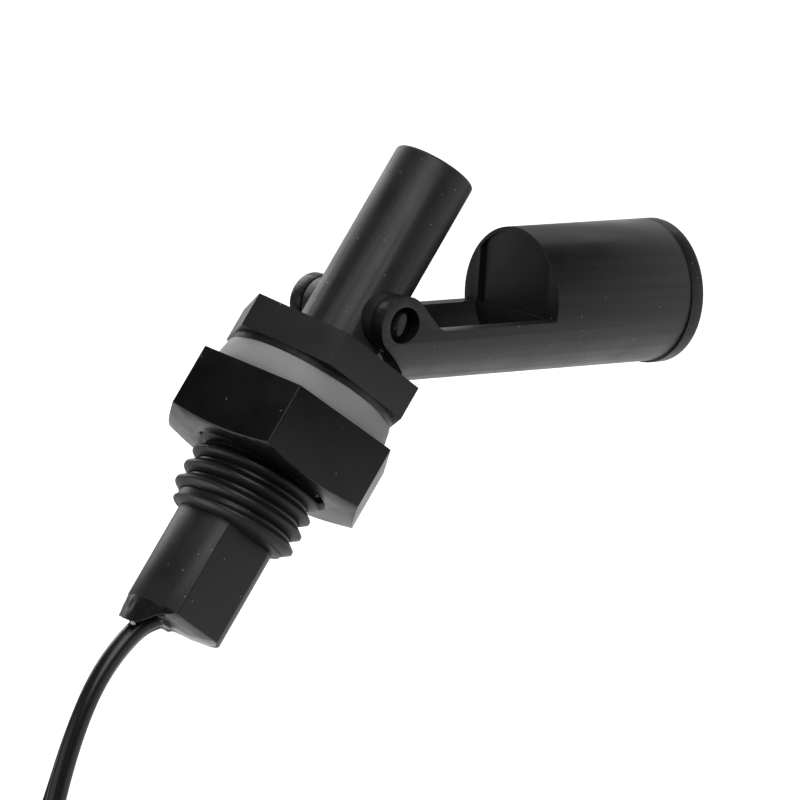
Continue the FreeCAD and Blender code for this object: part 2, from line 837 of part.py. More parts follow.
def outer_route(side):
    """Out of the potting at a slant, over in a long arch, and down to the coil."""
    reach = val("coil_radius") + val("coil_turns") / 2 * val("wire_dia")
    coil_left = val("coil_x") - reach
    rise = math.sqrt((reach + val("wire_dia") / 2) ** 2 - reach ** 2)
    return [
        pair_point(val("lead_joint"), -1.3, HALF_PAIR, side),
        pair_point(-29.3, -1.3, HALF_PAIR, side),
        pair_point(-32.3, 2.1, HALF_PAIR, side),
        pair_point(-34.9, 3.4, HALF_PAIR, side),
        V(-41.0, 2.1, 3.7) + side_way(0.0, side),
        V(-48.0, 2.0, 2.75) + side_way(0.0, side),
        V(-56.0, 2.0, 0.25) + side_way(0.15, side),
        V(-63.0, 1.7, -2.0) + side_way(0.9, side),
        V(coil_left, 0.6, -17.0) + side_way(0.95, side),
        V(coil_left - 0.4, 0.1, -26.0) + side_way(1.0, side),
        V(coil_left, 0, val("coil_z") + rise) + side_way(1.0, side),
    ]


def leads():
    """Both insulated leads: the stretch inside the potting and the free stretch."""
    made = {}
    wire_r = val("wire_dia") / 2
    for name, side in SIDES:
        for label, route, bend in ((f"inner_lead_{name}", inner_route(side), 4.0),
                                   (f"lead_{name}", outer_route(side), None)):
            made[label] = free_shape(label, bent_wire(label, route, wire_r, bend))
    return made


def lead_coil():
    """The put-away length of both leads as one ring, its axis along Y."""
    body = new_body("lead_coil")
    half_band = (size("coil_turns") + 1.0) * size("wire_dia") / 2
    ring = new_sketch(body, "XZ_Plane")
    circle(ring, size("coil_x"), size("coil_z"), size("coil_radius") + half_band)
    circle(ring, size("coil_x"), size("coil_z"), size("coil_radius") - half_band)
    feature(body, "Pad", ring, Length=size("wire_dia") * 2 + size("wire_gap"), Midplane=True)
    return body


def coil_tie():
    """Nylon band round the top of the coil."""
    body = new_body("coil_tie")
    half_band = (size("coil_turns") + 1.0) * size("wire_dia") / 2
    top = size("coil_z") + size("coil_radius")
    reach = half_band + size("tie_gap")
    half_width = size("wire_dia") + size("wire_gap") / 2 + size("tie_gap")
    thick = size("tie_thick")
    section = new_sketch(body, "YZ_Plane", size("coil_x"))
    for grow in (0.0, 1.0):
        side = half_width + thick * grow
        low = top - reach - thick * grow
        high = top + reach + thick * grow
        outline(section, [(-side, low), (side, low), (side, high), (-side, high)])
    feature(body, "Pad", section, Length=size("tie_width"), Midplane=True)
    return body


def wire_tip(name, side):
    """Stripped and tinned end of one lead, pointing into the coil."""
    body = turned(f"wire_tip_{name}", [
        (0, 0),
        (0, size("core_dia") / 2),
        (size("strip_len") - 0.2, size("core_dia") / 2),
        (size("strip_len"), size("core_dia") / 2 - 0.2),
        (size("strip_len"), 0),
    ])
    inner = val("coil_radius") - (val("coil_turns") + 1.0) * val("wire_dia") / 2
    angle = math.radians(230.0 - 15.0 * side)
    lean = math.radians(25.0)
    outward = V(math.cos(angle), 0, math.sin(angle))
    onward = V(-outward.z, 0, outward.x)
    foot = V(val("coil_x"), -side * HALF_PAIR, val("coil_z")) + outward * (inner - 0.6)
    turn = FreeCAD.Rotation(X_AXIS, onward * math.cos(lean) - outward * math.sin(lean))
    body.Placement = FreeCAD.Placement(foot, turn)
    return body


# ---------------------------------------------------------------- reed switch and splices
def reed_glass():
    """Glass tube, drawn shut round the two blades at its ends."""
    start = glass_start
    end = start + size("glass_len")
    lead_r = size("reed_lead_dia") / 2
    seal = size("glass_seal")
    outer = size("glass_dia") / 2
    inner = outer - size("glass_wall")
    return turned("reed_glass", [
        (start, lead_r), (start, outer - 0.4), (start + 0.6, outer),
        (end - 0.6, outer), (end, outer - 0.4), (end, lead_r),
        (end - seal, lead_r), (end - seal, inner), (start + seal, inner), (start + seal, lead_r),
    ])


def reed_cushion():
    """Soft sleeve that holds the glass in the middle of the bore."""
    start = glass_start + 1.0
    end = glass_start + size("glass_len") - 1.0
    inner = size("glass_dia") / 2 + 0.02
    outer = inner + size("cushion_wall")
    return turned("reed_cushion", [(start, inner), (start, outer), (end, outer), (end, inner)])


def reed_blade(name, side):
    """One flat blade in the glass and its round lead back to the splice."""
    start = glass_start.value
    end = start + val("glass_len")
    middle = (start + end) / 2
    lead_r = val("reed_lead_dia") / 2
    lane = val("leg_offset") * side
    if side > 0:
        tail = start + val("glass_seal")
        route = [V(tail, 0, 0), V(start - 3.0, 0, 0),
                 pair_point(start - 9.0, 0, lane, 1.0), pair_point(val("splice_at"), 0, lane, 1.0)]
        bend = 2.0
    else:
        tail = end - val("glass_seal")
        turn_back = end + 1.0
        route = [V(tail, 0, 0), V(turn_back, 0, 0),
                 pair_point(turn_back, 0, lane, 1.0), pair_point(val("splice_at"), 0, lane, 1.0)]
        bend = 0.8
    lead = bent_wire(f"reed_blade_{name}", route, lead_r, bend)
    tip = middle + side * val("blade_overlap") / 2
    low = val("blade_gap") / 2 if side > 0 else -val("blade_gap") / 2 - val("blade_thick")
    blade = Part.makeBox(abs(tip - tail), val("blade_width"), val("blade_thick"),
                         V(min(tip, tail), -val("blade_width") / 2, low))
    return free_shape(f"reed_blade_{name}", lead.fuse(blade))


def splice(name, side):
    """Soldered joint between a reed lead and the stripped end of the outgoing lead."""
    half = size("splice_len") / 2
    outer = size("splice_dia") / 2
    core = size("core_dia") / 2
    lead_r = size("reed_lead_dia") / 2
    body = turned(f"splice_{name}", [
        (-half - 1.0, 0), (-half - 1.0, core), (-half, core), (-half, outer),
        (half, outer), (half, lead_r), (0, lead_r), (0, 0),
    ])
    to_lane(body, side)
    return body


def splice_sleeve(name, side):
    """Heat-shrink sleeve over a splice and the end of the insulation."""
    half = size("sleeve_len") / 2
    outer = size("sleeve_dia") / 2
    grip = size("wire_dia") / 2 + 0.03
    body = turned(f"splice_sleeve_{name}",
                  [(-half, grip), (-half, outer), (half, outer), (half, grip)])
    to_lane(body, side)
    return body


def potting_resin():
    """Resin that fills the stem, with a thin lip spilt over one side of the rim."""
    body = new_body("potting_resin")
    face = stem_end + size("potting_recess")
    fill_r = stem_bore_r - 0.01
    film = size("spill_film")
    skirt_in = stem_r - size("spill_wall")
    low = stem_end - size("spill_height")
    fill = new_sketch(body, "XZ_Plane")
    outline(fill, [(face, 0), (face, fill_r), (face + size("potting_len"), fill_r),
                   (face + size("potting_len"), 0)])
    revolve(body, fill)
    spill = new_sketch(body, "XZ_Plane")
    outline(spill, [
        (face, fill_r - film), (face, fill_r), (stem_end, fill_r), (stem_end, stem_r),
        (low, stem_r - 0.1), (low, skirt_in), (stem_end - film, skirt_in),
        (stem_end - film, fill_r - film),
    ])
    feature(body, "Revolution", spill, ReferenceAxis=(spill, ["H_Axis"]),
            Angle=size("spill_spread"), Midplane=True)
    tear_lip(body, low)
    body.Placement = FreeCAD.Placement(V(), FreeCAD.Rotation(X_AXIS, val("spill_angle") - 90.0))
    body.setExpression("Placement.Rotation.Angle", "Sizes.spill_angle - 90")
    return body


def tear_lip(body, low):
    """The lip's ragged end, and the place where it is torn off the rim."""
    tear = new_sketch(body, "XY_Plane")
    deep = low - 2.0
    teeth = [(-5.6, 0.35), (-4.4, 0.1), (-3.9, 0.45), (-2.6, 0.2), (-1.7, 0.75), (-0.9, 0.35),
             (0.3, 0.9), (1.2, 0.25), (2.3, 0.6), (3.4, 0.1), (4.1, 0.5), (5.6, 0.2)]
    edge = [(low + length, across) for across, length in teeth]
    outline(tear, [(deep, -6.6), (low, -6.6)] + edge + [(low, 6.6), (deep, 6.6)])
    gap_end = stem_end - 1.5
    outline(tear, [(stem_end, -6.8), (gap_end, -6.8), (gap_end, -4.7), (gap_end + 0.5, -3.9),
                   (stem_end, -3.5)])
    feature(body, "Pocket", tear, Type=1, Reversed=True)


def potting_plug(resin, wires):
    """The resin with a channel for each wire that runs through it."""
    for count, wire in enumerate(wires):
        cut = DOC.addObject("Part::Cut", f"Potted{count}")
        cut.Base = resin
        cut.Tool = wire
        resin = cut
    DOC.recompute()
    resin.Label = "potting_plug"
    return resin


# ---------------------------------------------------------------- build, check and write
def check_and_write(parts):
    DOC.recompute()
    for item in DOC.Objects:
        if "Invalid" in item.State or "Error" in item.State:
            raise RuntimeError(f"{item.Label} failed: {item.State}")
    os.makedirs("parts", exist_ok=True)
    for part in parts:
        shape = part.Shape
        if shape.isNull() or not shape.isValid() or shape.Volume <= 0:
            raise RuntimeError(f"{part.Label} has no sound shape")
        shape.exportStep(os.path.join("parts", part.Label + ".step"))
        print(f"{part.Label}: {len(shape.Solids)} solid, {shape.Volume:.1f} mm3")


def build():
    parts = [sensor_body(), sealing_gasket(), lock_nut()]
    parts += [float_arm(), float_end_cap(), arm_magnet()]
    parts += [reed_glass(), reed_cushion()]
    for name, side in SIDES:
        parts += [reed_blade(name, side), splice(name, side), splice_sleeve(name, side)]
        parts.append(wire_tip(name, side))
    wires = leads()
    parts += wires.values()
    parts.append(potting_plug(potting_resin(), wires.values()))
    parts += [lead_coil(), coil_tie()]
    check_and_write(parts)


build()
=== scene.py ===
"""Looks for the float level switch: moulded body, nut, gasket, hinged float and two leads.

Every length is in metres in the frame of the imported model: X along the sensor tube into
the tank, Y along the float's hinge, Z up, with the origin on the sealing face.
"""
import json
import math

import bmesh
import bpy
from mathutils import Matrix, Vector, noise


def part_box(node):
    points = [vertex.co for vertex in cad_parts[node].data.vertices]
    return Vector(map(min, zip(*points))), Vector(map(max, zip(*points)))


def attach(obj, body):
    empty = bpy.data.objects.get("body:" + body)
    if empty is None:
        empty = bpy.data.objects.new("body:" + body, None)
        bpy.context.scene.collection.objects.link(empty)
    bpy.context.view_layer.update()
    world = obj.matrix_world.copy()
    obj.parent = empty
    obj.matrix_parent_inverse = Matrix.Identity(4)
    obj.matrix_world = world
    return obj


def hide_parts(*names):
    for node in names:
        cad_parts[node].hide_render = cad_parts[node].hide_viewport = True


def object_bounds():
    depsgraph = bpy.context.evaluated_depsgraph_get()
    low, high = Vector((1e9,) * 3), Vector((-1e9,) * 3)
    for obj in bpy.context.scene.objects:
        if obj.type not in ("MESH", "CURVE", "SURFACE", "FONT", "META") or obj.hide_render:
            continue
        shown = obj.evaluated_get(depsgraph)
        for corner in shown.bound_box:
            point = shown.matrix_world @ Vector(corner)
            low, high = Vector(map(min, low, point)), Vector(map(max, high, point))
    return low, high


bl_info = {
    "name": "Float Level Switch",
    "version": (1, 0, 0),
    "blender": (4, 5, 0),
    "location": "View3D > Sidebar > Float Switch",
    "description": "Builds the looks of a side-mounted float level switch",
    "category": "Object",
}

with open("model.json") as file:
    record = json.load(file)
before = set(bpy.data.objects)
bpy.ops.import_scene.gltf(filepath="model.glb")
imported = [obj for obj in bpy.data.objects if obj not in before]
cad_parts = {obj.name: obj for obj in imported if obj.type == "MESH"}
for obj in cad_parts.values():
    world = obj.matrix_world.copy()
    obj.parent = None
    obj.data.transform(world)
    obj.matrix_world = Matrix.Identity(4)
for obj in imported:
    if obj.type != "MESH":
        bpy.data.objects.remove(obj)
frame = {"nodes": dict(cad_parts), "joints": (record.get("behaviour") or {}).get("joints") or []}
CAD_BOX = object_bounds()
NODES = frame["nodes"]
PIVOT = Vector(frame["joints"][0]["pos_m"])
MM = 0.001
SIDES = (("near", 1.0), ("far", -1.0))


# ---------------------------------------------------------------- settings a user may change
class SwitchSizes(bpy.types.PropertyGroup):
    """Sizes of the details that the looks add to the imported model."""

    edge_round: bpy.props.FloatProperty(
        name="Edge rounding", description="Radius of the moulded edges",
        default=0.22 * MM, min=0.0, precision=5, subtype="DISTANCE", unit="LENGTH")
    sharp_round: bpy.props.FloatProperty(
        name="Nut edge rounding", description="Radius of the lock nut's crisper edges",
        default=0.08 * MM, min=0.0, precision=5, subtype="DISTANCE", unit="LENGTH")
    thread_root: bpy.props.FloatProperty(
        name="Thread root radius", description="Radius of the core under the thread",
        default=6.85 * MM, min=0.0, precision=5, subtype="DISTANCE", unit="LENGTH")
    thread_height: bpy.props.FloatProperty(
        name="Thread height", description="Height of a thread crest over its root",
        default=1.05 * MM, min=0.0, precision=5, subtype="DISTANCE", unit="LENGTH")
    thread_pitch: bpy.props.FloatProperty(
        name="Thread pitch", description="Advance of the thread in one turn",
        default=2.0 * MM, min=0.0001, precision=5, subtype="DISTANCE", unit="LENGTH")
    crest_round: bpy.props.FloatProperty(
        name="Crest rounding", description="Radius of the worn thread crests",
        default=0.15 * MM, min=0.0, precision=5, subtype="DISTANCE", unit="LENGTH")
    lead_diameter: bpy.props.FloatProperty(
        name="Lead diameter", description="Outside diameter of one insulated lead",
        default=2.25 * MM, min=0.0001, precision=5, subtype="DISTANCE", unit="LENGTH")
    coil_turns: bpy.props.IntProperty(
        name="Coil turns", description="Full turns of the leads in their tied coil",
        default=3, min=1, max=12)
    strands: bpy.props.IntProperty(
        name="Strands", description="Twisted strands in each tinned end",
        default=7, min=3, max=19)


class SwitchColours(bpy.types.PropertyGroup):
    """Colours of the visible finishes."""

    moulding: bpy.props.FloatVectorProperty(
        name="Moulding", description="Black nylon of the body, nut and float",
        default=(0.018, 0.018, 0.0185), min=0.0, max=1.0, size=3, subtype="COLOR")
    gasket: bpy.props.FloatVectorProperty(
        name="Gasket", description="Grey silicone of the sealing washer",
        default=(0.42, 0.42, 0.42), min=0.0, max=1.0, size=3, subtype="COLOR")
    insulation: bpy.props.FloatVectorProperty(
        name="Insulation", description="Black PVC of the leads",
        default=(0.02, 0.02, 0.021), min=0.0, max=1.0, size=3, subtype="COLOR")
    backdrop: bpy.props.FloatVectorProperty(
        name="Backdrop", description="Floor and backdrop",
        default=(0.9, 0.9, 0.9), min=0.0, max=1.0, size=3, subtype="COLOR")


def sizes():
    """The scene's sizes."""
    return bpy.context.scene.switch_sizes


def colours():
    """The scene's colours."""
    return bpy.context.scene.switch_colours


# ---------------------------------------------------------------- shader node helpers
DUST_COLOUR = (0.16, 0.16, 0.155, 1.0)
NUT_SHADE = 0.23
FLOAT_SHADE = 0.67


def new_group(name, inputs, outputs):
    """A shader node group with its input and output sockets."""
    group = bpy.data.node_groups.new(name, "ShaderNodeTree")
    for label, kind, default in inputs:
        socket = group.interface.new_socket(name=label, in_out="INPUT", socket_type=kind)
        if default is not None:
            socket.default_value = default
    for label, kind in outputs:
        group.interface.new_socket(name=label, in_out="OUTPUT", socket_type=kind)
    return group


def add_node(tree, kind, links=(), **values):
    """Add a node, set its properties and inputs, and link inputs: (input, node, output) each.

    In an input's name, an underscore stands for a space.
    """
    node = tree.nodes.new(kind)
    for key, value in values.items():
        if hasattr(node, key):
            setattr(node, key, value)
        else:
            node.inputs[key.replace("_", " ")].default_value = value
    for entry, source, exit_name in links:
        tree.links.new(source.outputs[exit_name], node.inputs[entry])
    return node


def maths(tree, operation, *terms):
    """A math node on numbers or on other nodes' outputs: (node, output) each."""
    node = add_node(tree, "ShaderNodeMath", operation=operation)
    for place, term in enumerate(terms):
        if isinstance(term, tuple):
            tree.links.new(term[0].outputs[term[1]], node.inputs[place])
        else:
            node.inputs[place].default_value = term
    return node


def grain_group():
    """Fine moulded grain: a height for bump, and a slow mottle for roughness."""
    group = new_group("MouldedGrain", [
        ("Vector", "NodeSocketVector", None),
        ("Grain Scale", "NodeSocketFloat", 5000.0),
        ("Mottle Scale", "NodeSocketFloat", 260.0),
    ], [("Height", "NodeSocketFloat"), ("Mottle", "NodeSocketFloat")])
    start = add_node(group, "NodeGroupInput")
    fine = add_node(group, "ShaderNodeTexNoise", [
        ("Vector", start, "Vector"), ("Scale", start, "Grain Scale")], Detail=3.0, Roughness=0.6)
    slow = add_node(group, "ShaderNodeTexNoise", [
        ("Vector", start, "Vector"), ("Scale", start, "Mottle Scale")], Detail=4.0, Roughness=0.55)
    add_node(group, "NodeGroupOutput", [("Height", fine, "Fac"), ("Mottle", slow, "Fac")])
    return group


def dust_group():
    """Sparse pale specks of dust, each a fraction of a millimetre wide."""
    group = new_group("DustSpecks", [
        ("Vector", "NodeSocketVector", None),
        ("Scale", "NodeSocketFloat", 900.0),
        ("Speck Size", "NodeSocketFloat", 0.12),
        ("Share", "NodeSocketFloat", 0.06),
    ], [("Mask", "NodeSocketFloat")])
    start = add_node(group, "NodeGroupInput")
    cells = add_node(group, "ShaderNodeTexVoronoi", [
        ("Vector", start, "Vector"), ("Scale", start, "Scale")])
    near = maths(group, "LESS_THAN", (cells, "Distance"), (start, "Speck Size"))
    split = add_node(group, "ShaderNodeSeparateColor", [("Color", cells, "Color")])
    chosen = maths(group, "LESS_THAN", (split, "Red"), (start, "Share"))
    both = maths(group, "MULTIPLY", (near, "Value"), (chosen, "Value"))
    add_node(group, "NodeGroupOutput", [("Mask", both, "Value")])
    return group


def scuff_group():
    """Short fine scratches, lying mostly one way."""
    group = new_group("Scuffs", [
        ("Vector", "NodeSocketVector", None),
        ("Scale", "NodeSocketFloat", 120.0),
        ("Amount", "NodeSocketFloat", 0.5),
    ], [("Mask", "NodeSocketFloat")])
    start = add_node(group, "NodeGroupInput")
    stretched = add_node(group, "ShaderNodeMapping", [("Vector", start, "Vector")],
                         Scale=(0.15, 1.0, 1.0), Rotation=(0.3, 0.5, 0.2))
    lines = add_node(group, "ShaderNodeTexNoise", [
        ("Vector", stretched, "Vector"), ("Scale", start, "Scale")], Detail=6.0, Roughness=0.75)
    peak = add_node(group, "ShaderNodeMapRange", [("Value", lines, "Fac")],
                    From_Min=0.62, From_Max=0.72)
    scaled = maths(group, "MULTIPLY", (peak, "Result"), (start, "Amount"))
    add_node(group, "NodeGroupOutput", [("Mask", scaled, "Value")])
    return group


def shader_group(name, make):
    """The named group, built the first time that it is asked for."""
    return bpy.data.node_groups.get(name) or make()


def use_group(tree, group, links=(), **values):
    """Add a group's node; its tree is set first, because its inputs come from it."""
    return add_node(tree, "ShaderNodeGroup", links, node_tree=group, **values)


def new_material(name, colour, metallic=0.0):
    """A material with a Principled shader; returns it with its tree, shader and coordinates."""
    material = bpy.data.materials.new(name)
    material.use_nodes = True
    tree = material.node_tree
    shader = tree.nodes["Principled BSDF"]
    shader.inputs["Base Color"].default_value = (*colour, 1.0)
    shader.inputs["Metallic"].default_value = metallic
    place = tree.nodes.new("ShaderNodeTexCoord")
    material.diffuse_color = (*colour, 1.0)
    return material, tree, shader, place


def roughness_from(tree, shader, source, exit_name, low, high):
    """Spread a value between two roughnesses."""
    spread = add_node(tree, "ShaderNodeMapRange", [("Value", source, exit_name)],
                      From_Min=0.3, From_Max=0.7, To_Min=low, To_Max=high)
    tree.links.new(spread.outputs["Result"], shader.inputs["Roughness"])


def bump_from(tree, shader, source, exit_name, strength, distance):
    """Use a height as bump."""
    bump = add_node(tree, "ShaderNodeBump", [("Height", source, exit_name)],
                    Strength=strength, Distance=distance)
    tree.links.new(bump.outputs["Normal"], shader.inputs["Normal"])


def moulded_material(name, colour, rough, dust_share=0.35, scuff=0.0):
    """Black moulded nylon: fine grain, slow mottle, a few specks of dust and light scuffs."""
    material, tree, shader, place = new_material(name, colour)
    grain = use_group(tree, shader_group("MouldedGrain", grain_group),
                      [("Vector", place, "Object")], Grain_Scale=3400.0, Mottle_Scale=240.0)
    dust = use_group(tree, shader_group("DustSpecks", dust_group),
                     [("Vector", place, "Object")], Scale=850.0, Speck_Size=0.1, Share=dust_share)
    scuffs = use_group(tree, shader_group("Scuffs", scuff_group),
                       [("Vector", place, "Object")], Scale=420.0, Amount=scuff)
    shade = add_node(tree, "ShaderNodeMapRange", [("Value", grain, "Mottle")],
                     To_Min=0.75, To_Max=1.3)
    tint = add_node(tree, "ShaderNodeMix", data_type="RGBA", blend_type="MULTIPLY",
                    Factor=1.0, A=(*colour, 1.0))
    tree.links.new(shade.outputs["Result"], tint.inputs["B"])
    marked = maths(tree, "MAXIMUM", (dust, "Mask"), (scuffs, "Mask"))
    pale = add_node(tree, "ShaderNodeMix", data_type="RGBA", B=DUST_COLOUR)
    tree.links.new(marked.outputs["Value"], pale.inputs["Factor"])
    tree.links.new(tint.outputs["Result"], pale.inputs["A"])
    tree.links.new(pale.outputs["Result"], shader.inputs["Base Color"])
    roughness_from(tree, shader, grain, "Mottle", rough - 0.05, rough + 0.06)
    bump_from(tree, shader, grain, "Height", 0.5, 0.03 * MM)
    return material


def plain_material(name, colour, rough, metallic=0.0, grain_scale=3000.0, strength=0.15):
    """Any other finish: its own colour and roughness with a fine grain."""
    material, tree, shader, place = new_material(name, colour, metallic)
    grain = use_group(tree, shader_group("MouldedGrain", grain_group),
                      [("Vector", place, "Object")], Grain_Scale=grain_scale, Mottle_Scale=400.0)
    roughness_from(tree, shader, grain, "Mottle", rough * 0.85, rough * 1.15)
    bump_from(tree, shader, grain, "Height", strength, 0.02 * MM)
    return material


def glass_material(name):
    """Faintly green glass of the reed capsule."""
    material, _tree, shader, _place = new_material(name, (0.86, 0.95, 0.9))
    shader.inputs["Transmission Weight"].default_value = 1.0
    shader.inputs["Roughness"].default_value = 0.03
    shader.inputs["IOR"].default_value = 1.48
    return material


def moulding_shade(share):
    """The mouldings' colour at a share of its brightness."""
    return tuple(part * share for part in colours().moulding)


def material(name):
    """The named finish, made the first time that it is asked for."""
    label = f"{name}_finish"
    found = bpy.data.materials.get(label)
    if found:
        return found
    gasket, insulation = tuple(colours().gasket), tuple(colours().insulation)
    makers = {
        "black_nylon": lambda: moulded_material(label, moulding_shade(1.0), rough=0.42),
        "black_nylon_nut": lambda: moulded_material(
            label, moulding_shade(NUT_SHADE), rough=0.3, dust_share=0.15, scuff=0.2),
        "black_nylon_float": lambda: moulded_material(
            label, moulding_shade(FLOAT_SHADE), rough=0.33, dust_share=0.2),
        "grey_silicone": lambda: plain_material(label, gasket, rough=0.55),
        "black_pvc": lambda: plain_material(label, insulation, rough=0.26, grain_scale=1500.0),
        "black_resin": lambda: plain_material(
            label, (0.012, 0.012, 0.0125), rough=0.3, grain_scale=900.0, strength=0.6),
        "glossy_resin": lambda: plain_material(
            label, (0.06, 0.06, 0.06), rough=0.12, grain_scale=900.0, strength=0.3),
        # Pale colour of the speck under the lip: a painted highlight, not the resin's own colour.
        "highlight_speck_paint": lambda: plain_material(
            label, (0.55, 0.55, 0.53), rough=0.3, grain_scale=2500.0, strength=0.5),
        "dark_ferrite": lambda: plain_material(
            label, (0.1, 0.1, 0.105), rough=0.5, metallic=0.6),
        "clear_glass": lambda: glass_material(label),
        "reed_alloy": lambda: plain_material(label, (0.56, 0.54, 0.5), rough=0.28, metallic=1.0),
        "solder": lambda: plain_material(label, (0.66, 0.66, 0.64), rough=0.32, metallic=1.0),
        "tinned_copper": lambda: plain_material(
            label, (0.72, 0.69, 0.63), rough=0.3, metallic=1.0),
        "shrink_sleeve": lambda: plain_material(label, (0.03, 0.03, 0.03), rough=0.5),
        "tie_nylon": lambda: plain_material(label, (0.035, 0.035, 0.035), rough=0.4),
    }
    return makers[name]()


# ---------------------------------------------------------------- mesh helpers
def new_object(name, data):
    """An object in the scene that holds a mesh, curve, camera or lamp."""
    obj = bpy.data.objects.new(name, data)
    bpy.context.scene.collection.objects.link(obj)
    return obj


def finished(obj, finish):
    """Turn an object with modifiers into a plain mesh with one material."""
    graph = bpy.context.evaluated_depsgraph_get()
    mesh = bpy.data.meshes.new_from_object(obj.evaluated_get(graph))
    name = obj.name
    bpy.data.objects.remove(obj)
    mesh.materials.clear()
    mesh.materials.append(material(finish))
    return new_object(name, mesh)


def cad_copy(node):
    """A merged copy of a CAD node's mesh, with its flat faces joined again."""
    work = bmesh.new()
    work.from_mesh(NODES[node].data)
    bmesh.ops.remove_doubles(work, verts=work.verts, dist=0.5e-6)
    bmesh.ops.dissolve_limit(work, angle_limit=math.radians(0.6), verts=work.verts,
                             edges=work.edges)
    return work


def bevelled(name, work, width, finish, angle=28.0):
    """An object from a bmesh, its sharp edges rounded and its curved walls smooth."""
    mesh = bpy.data.meshes.new(name)
    work.to_mesh(mesh)
    work.free()
    obj = new_object(name, mesh)
    for face in mesh.polygons:
        face.use_smooth = True
    bevel = obj.modifiers.new("Round", "BEVEL")
    bevel.width = width
    bevel.segments = 3
    bevel.limit_method = "ANGLE"
    bevel.angle_limit = math.radians(angle)
    bevel.use_clamp_overlap = True
    bevel.harden_normals = True
    return finished(obj, finish)


def lathe(work, profile, steps=96):
    """Turn places along X and radii about X; the profile's own ends may lie on the axis."""
    rings = []
    for along, radius in profile:
        if radius == 0:
            rings.append([work.verts.new((along, 0.0, 0.0))])
            continue
        ring = []
        for step in range(steps):
            angle = 2 * math.pi * step / steps
            ring.append(work.verts.new((along, radius * math.cos(angle), radius * math.sin(angle))))
        rings.append(ring)
    for first, second in zip(rings, rings[1:]):
        for step in range(steps):
            after = (step + 1) % steps
            corners = [first[step % len(first)], second[step % len(second)],
                       second[after % len(second)], first[after % len(first)]]
            kept = list(dict.fromkeys(corners))
            work.faces.new(kept)
    bmesh.ops.recalc_face_normals(work, faces=work.faces)


def bridge(work, first, second):
    """A closed band of faces between two rings of as many points."""
    for place in range(len(first)):
        after = (place + 1) % len(first)
        work.faces.new((first[place], first[after], second[after], second[place]))


def close_cut(work, cut, outward):
    """Fill the hole that a cut has left with a flat face that looks outward."""
    rim = [item for item in cut["geom_cut"] if isinstance(item, bmesh.types.BMEdge)]
    bmesh.ops.triangle_fill(work, edges=rim, use_beauty=True, use_dissolve=True, normal=outward)


def cut_away(work, along, keep_above):
    """Cut a bmesh square to X, keep one side and close it with a flat face."""
    geometry = work.verts[:] + work.edges[:] + work.faces[:]
    done = bmesh.ops.bisect_plane(
        work, geom=geometry, dist=1e-7, plane_co=(along, 0, 0), plane_no=(1, 0, 0),
        clear_inner=keep_above, clear_outer=not keep_above)
    close_cut(work, done, (-1.0 if keep_above else 1.0, 0, 0))


def joined(name, parts):
    """Join finished mesh objects into one piece."""
    work = bmesh.new()
    finish = parts[0].data.materials[0]
    for part in parts:
        work.from_mesh(part.data)
        bpy.data.objects.remove(part)
    mesh = bpy.data.meshes.new(name)
    work.to_mesh(mesh)
    work.free()
    mesh.materials.append(finish)
    for face in mesh.polygons:
        face.material_index = 0
    return new_object(name, mesh)


def seat(obj, body, slot, *nodes):
    """A piece rides on its body and stands for its nodes, which are hidden. The slot is not used.
    """
    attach(obj, body)
    if nodes:
        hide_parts(*nodes)
    return obj


# ---------------------------------------------------------------- geometry node trees
def geometry_tree(name, inputs):
    tree = bpy.data.node_groups.new(name, "GeometryNodeTree")
    tree.interface.new_socket(name="Geometry", in_out="INPUT", socket_type="NodeSocketGeometry")
    for label, kind, default in inputs:
        socket = tree.interface.new_socket(name=label, in_out="INPUT", socket_type=kind)
        if default is not None:
            socket.default_value = default
    tree.interface.new_socket(name="Geometry", in_out="OUTPUT", socket_type="NodeSocketGeometry")
    return tree


def run_tree(name, tree, values, finish):
    """Run a geometry tree with these inputs and keep its result as a plain mesh."""
    obj = new_object(name, bpy.data.meshes.new(name))
    modifier = obj.modifiers.new("Build", "NODES")
    modifier.node_group = tree
    for item in tree.interface.items_tree:
        if item.item_type == "SOCKET" and item.in_out == "INPUT" and item.name in values:
            modifier[item.identifier] = values[item.name]
    modifier[tree.interface.items_tree["Material"].identifier] = material(finish)
    return finished(obj, finish)


def end_of_tree(tree, last, exit_name, start):
    """Every tree ends in Realize Instances and Set Material."""
    whole = add_node(tree, "GeometryNodeRealizeInstances", [("Geometry", last, exit_name)])
    coat = add_node(tree, "GeometryNodeSetMaterial", [
        ("Geometry", whole, "Geometry"), ("Material", start, "Material")])
    add_node(tree, "NodeGroupOutput", [("Geometry", coat, "Geometry")])


